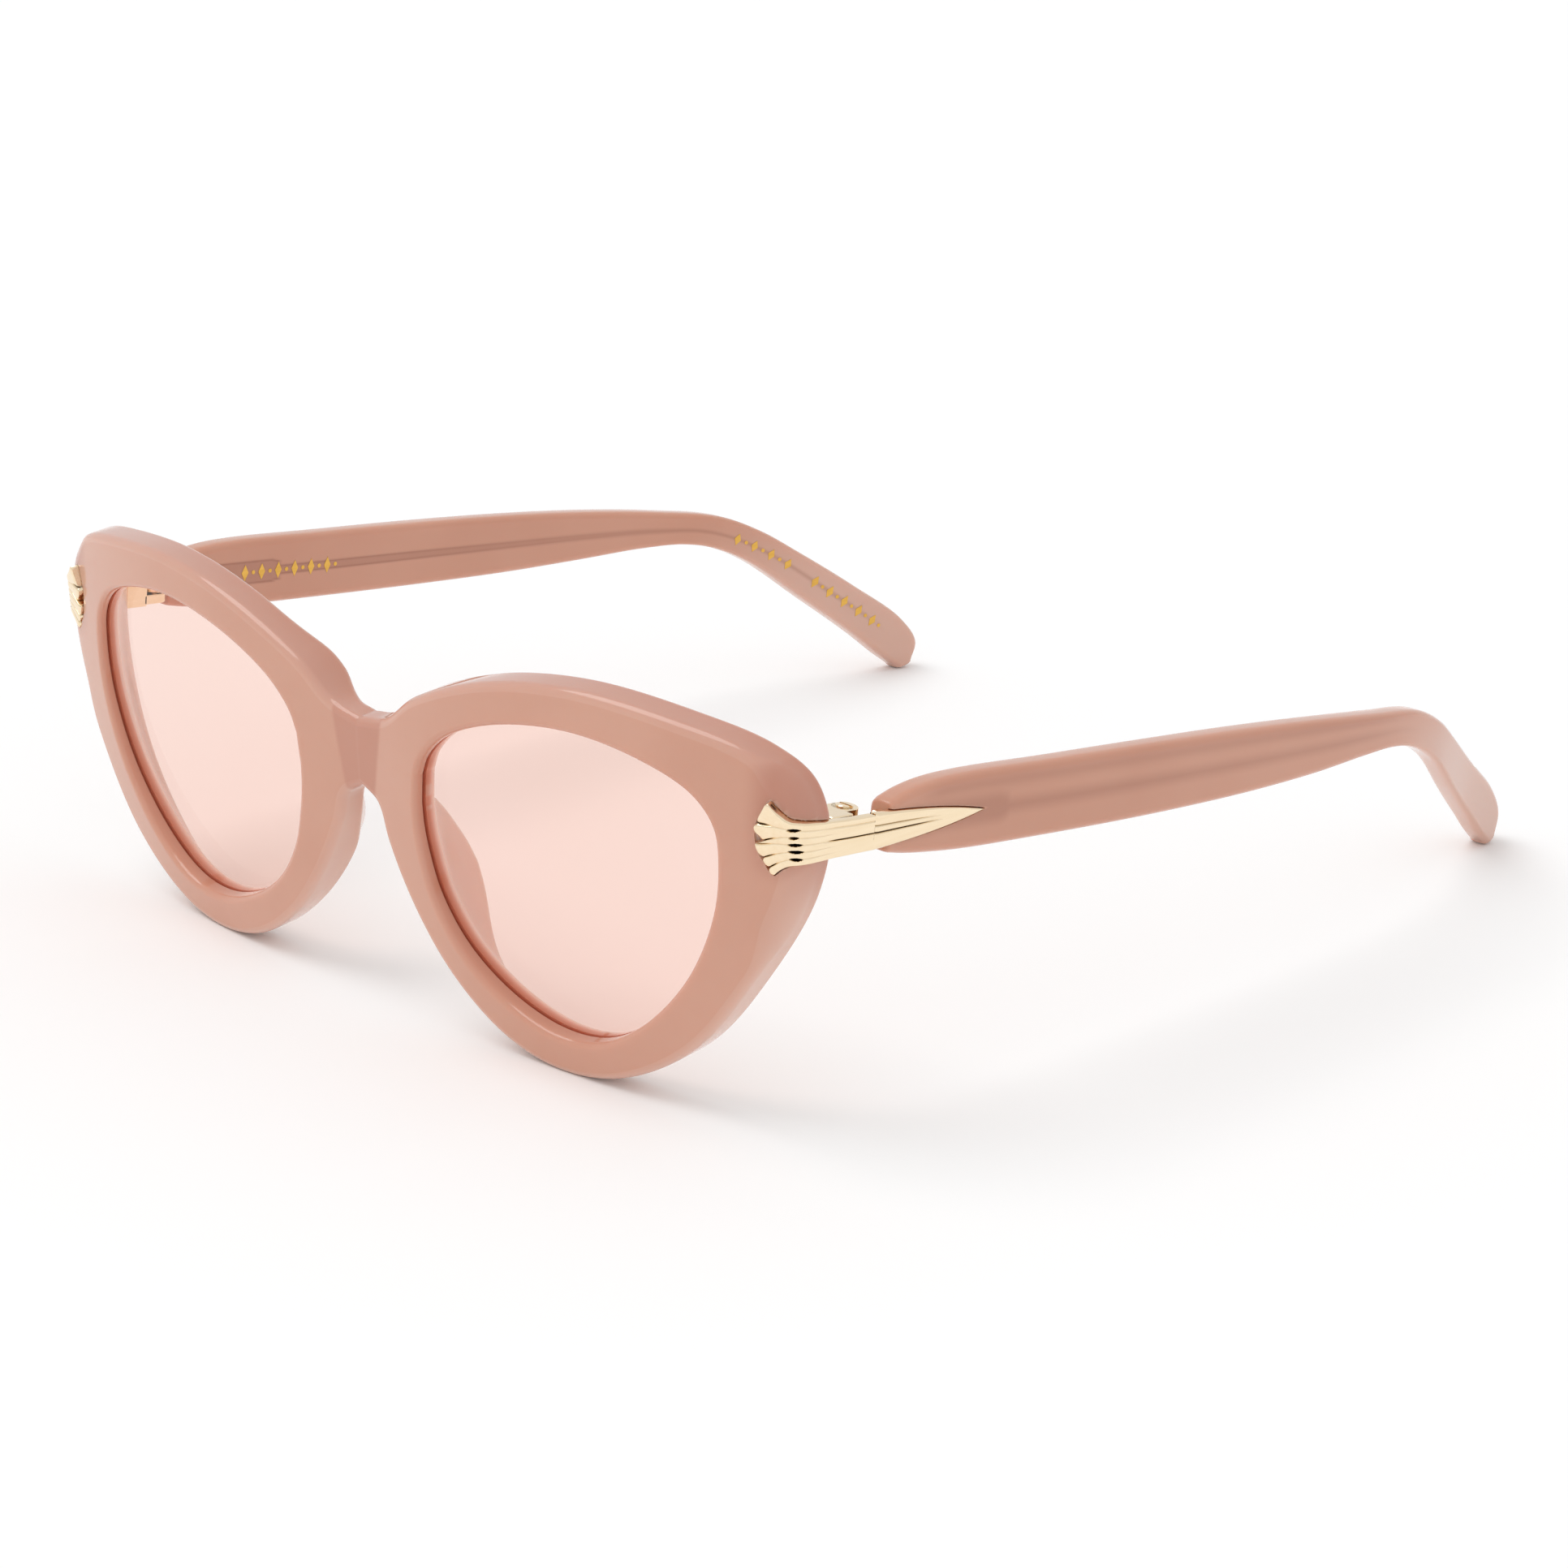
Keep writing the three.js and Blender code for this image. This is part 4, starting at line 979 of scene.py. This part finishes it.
def temple_leaf_shape():
    middle = (-MIDDLE_KNUCKLE, MIDDLE_KNUCKLE)
    parts = [at_pivot(round_bar(BARREL, *middle, soft=0.06)),
             soft_block((PIVOT[0], 68.2), (0.0, 2.6), middle, 0.05),
             soft_block((67.1, 68.2), (2.2, 22.4), (-1.6, 1.6), 0.2)]
    return in_row_frame(parts)


def screw_shape():
    """A pin, a head in two halves with the slot between them, and the slot's floor."""
    parts = [at_pivot(round_bar(PIN_RADIUS, PIN_LOW, PIN_HIGH, soft=0.05))]
    for side in (-1, 1):
        turn = np.linspace(math.asin(SLOT_HALF), math.pi - math.asin(SLOT_HALF), 18)
        arc = SCREW_HEAD * np.stack([np.cos(turn), side * np.sin(turn)], 1)
        loops = []
        for height, inset in ((1.2, 0), (1.98, 0), (2.08, 0.12)):
            ring = arc * (1 - inset)
            ring[:, 1] = side * np.maximum(side * ring[:, 1], SLOT_HALF)
            loops.append(np.insert(ring, 2, height, axis=1))
        parts.append(at_pivot(loft(loops)))
    parts.append(at_pivot(round_bar(1.0, 1.0, 1.5, soft=0.02)))
    return in_row_frame(parts)


# ---- lens ----

# Where the lens's rings of faces shrink to, [x, z]
LENS_HUB = np.array([34.0, 29.0])


def lens_shape():
    """A lens with a bevelled edge, which sits in the rim's groove."""
    closed = np.vstack([OPENING, OPENING[:1]])
    t = np.linspace(0, 1, 221)[:-1]
    turn = slope(closed, t)
    away = np.stack([-turn[:, 1], turn[:, 0]], 1)
    opening = curve(closed, t)
    edge, behind = opening + LENS_EDGE * away, opening - LENS_EDGE * away
    shares = np.linspace(0.04, 1, 16)
    front_depth, rear_depth = LENS_DEPTHS
    rings = [(mix(LENS_HUB, edge, s), front_depth) for s in shares]
    rings += [(opening + LENS_BEVEL * away, GROOVE_BOTTOM), (behind, GROOVE_REAR)]
    rings += [(mix(LENS_HUB, behind, s), rear_depth) for s in shares[::-1]]
    loops = []
    for ring, depth in rings:
        loops.append(np.stack([ring[:, 0], lens_y(ring[:, 0], ring[:, 1]) + depth, ring[:, 1]], 1))
    points, faces = loft(loops)
    return from_front(points), faces


# ---- put the pieces together ----

front_form, front_values = front_shape()
front = make("front_acetate", front_form, front_acetate, "front",
             ("front_frame", "nose_pad_left", "nose_pad_right"), sharp=40, values=front_values)
carve(front, [plaque_seat(), mirrored(plaque_seat())], sharp=40)

temple_form, temple_values = temple_shape()
plaque_form, plaque_values = plaque_shape()
spear_form, spear_values = spear_shape()
for side, flip in (("left", lambda shape: shape), ("right", mirrored)):
    body = side + "_temple"
    make("lens_shell_" + side, flip(lens_shape()), lens_tint, "front", ("lens_" + side,))
    make("fan_plaque_" + side, flip(plaque_form), gold, "front", ("front_plaque_" + side,), sharp=50,
         values=plaque_values)
    make("hinge_block_" + side, flip(front_leaf_shape()), gold, "front",
         ("hinge_front_leaf_" + side,))
    make("slotted_screw_" + side, flip(screw_shape()), gold, "front", ("hinge_screw_" + side,))
    temple = make("temple_acetate_" + side, flip(temple_form), temple_acetate, body,
                  ("temple_" + side,), sharp=40, values=temple_values)
    carve(temple, [flip(spear_seat())], sharp=40)
    make("spear_plaque_" + side, flip(spear_form), gold, body, ("temple_plaque_" + side,), sharp=50,
         values=spear_values)
    make("hinge_shoe_" + side, flip(temple_leaf_shape()), gold, body,
         ("hinge_temple_leaf_" + side,))
    make("foil_marks_" + side, flip(foil_marks()), foil, body)

for name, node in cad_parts.items():
    if name.startswith(("fan_pin", "leaf_stud", "temple_rivet", "temple_core")):
        node.data.materials.clear()
        node.data.materials.append(steel)


# ---- floor, light and camera ----


def grey(value):
    return (value, value, value, 1)


def floor_material():
    n = Nodes("pale_floor")
    tone = n.blend(n.fit(n.noise(400, 2), 0.3, 0.7, 0, 1), grey(0.95), grey(0.96))
    shader = n.add("ShaderNodeBsdfPrincipled", Base_Color=tone)
    shader.inputs["Roughness"].default_value = 0.8
    shader.inputs["Specular IOR Level"].default_value = 0.1
    return n.done(shader.outputs["BSDF"])


FLOOR_HALF = 4000
FLOOR_Z = -0.02
ends = (-FLOOR_HALF, FLOOR_HALF)
floor_points = [[x, y, FLOOR_Z] for x in ends for y in ends]
floor = make("floor", (floor_points, [[0, 2, 3, 1]]), floor_material())

scene = bpy.context.scene
scene.view_settings.view_transform = "Standard"

# Even studio light: a little brighter at the horizon than overhead
world = bpy.data.worlds.new("studio")
scene.world = world
world.use_nodes = True
tree = world.node_tree
background = tree.nodes["Background"]
spot = tree.nodes.new("ShaderNodeTexCoord")
split = tree.nodes.new("ShaderNodeSeparateXYZ")
ramp = tree.nodes.new("ShaderNodeValToRGB")
tree.links.new(spot.outputs["Generated"], split.inputs["Vector"])
tree.links.new(split.outputs["Z"], ramp.inputs["Fac"])
tree.links.new(ramp.outputs["Color"], background.inputs["Color"])
for element, position, value in zip(ramp.color_ramp.elements, (0.0, 0.35), (0.86, 0.83)):
    element.position = position
    element.color = grey(value)
background.inputs["Strength"].default_value = 1.0

# One broad soft light from the front left, above
key = bpy.data.lights.new("key", "SUN")
key.energy = 0.85
key.angle = math.radians(40)
lamp = bpy.data.objects.new("key", key)
scene.collection.objects.link(lamp)
towards_light = Vector((-0.38, -0.30, 0.87))
lamp.rotation_euler = towards_light.to_track_quat("Z", "Y").to_euler()

camera = bpy.data.cameras.new("camera")
camera.sensor_width = 36
camera.lens = 92.83
camera.clip_start = 0.01
camera.clip_end = 50
eye = bpy.data.objects.new("camera", camera)
scene.collection.objects.link(eye)
# The camera's right, up and back directions, and where it stands
right, up, back = ((0.706141, 0.707751, 0.021288), (-0.236981, 0.207897, 0.949009),
                   (0.667237, -0.675179, 0.314528))
stand = (0.365560, -0.374840, 0.184770)
eye.matrix_world = Matrix.Translation(stand) @ Matrix((right, up, back)).transposed().to_4x4()
scene.camera = eye
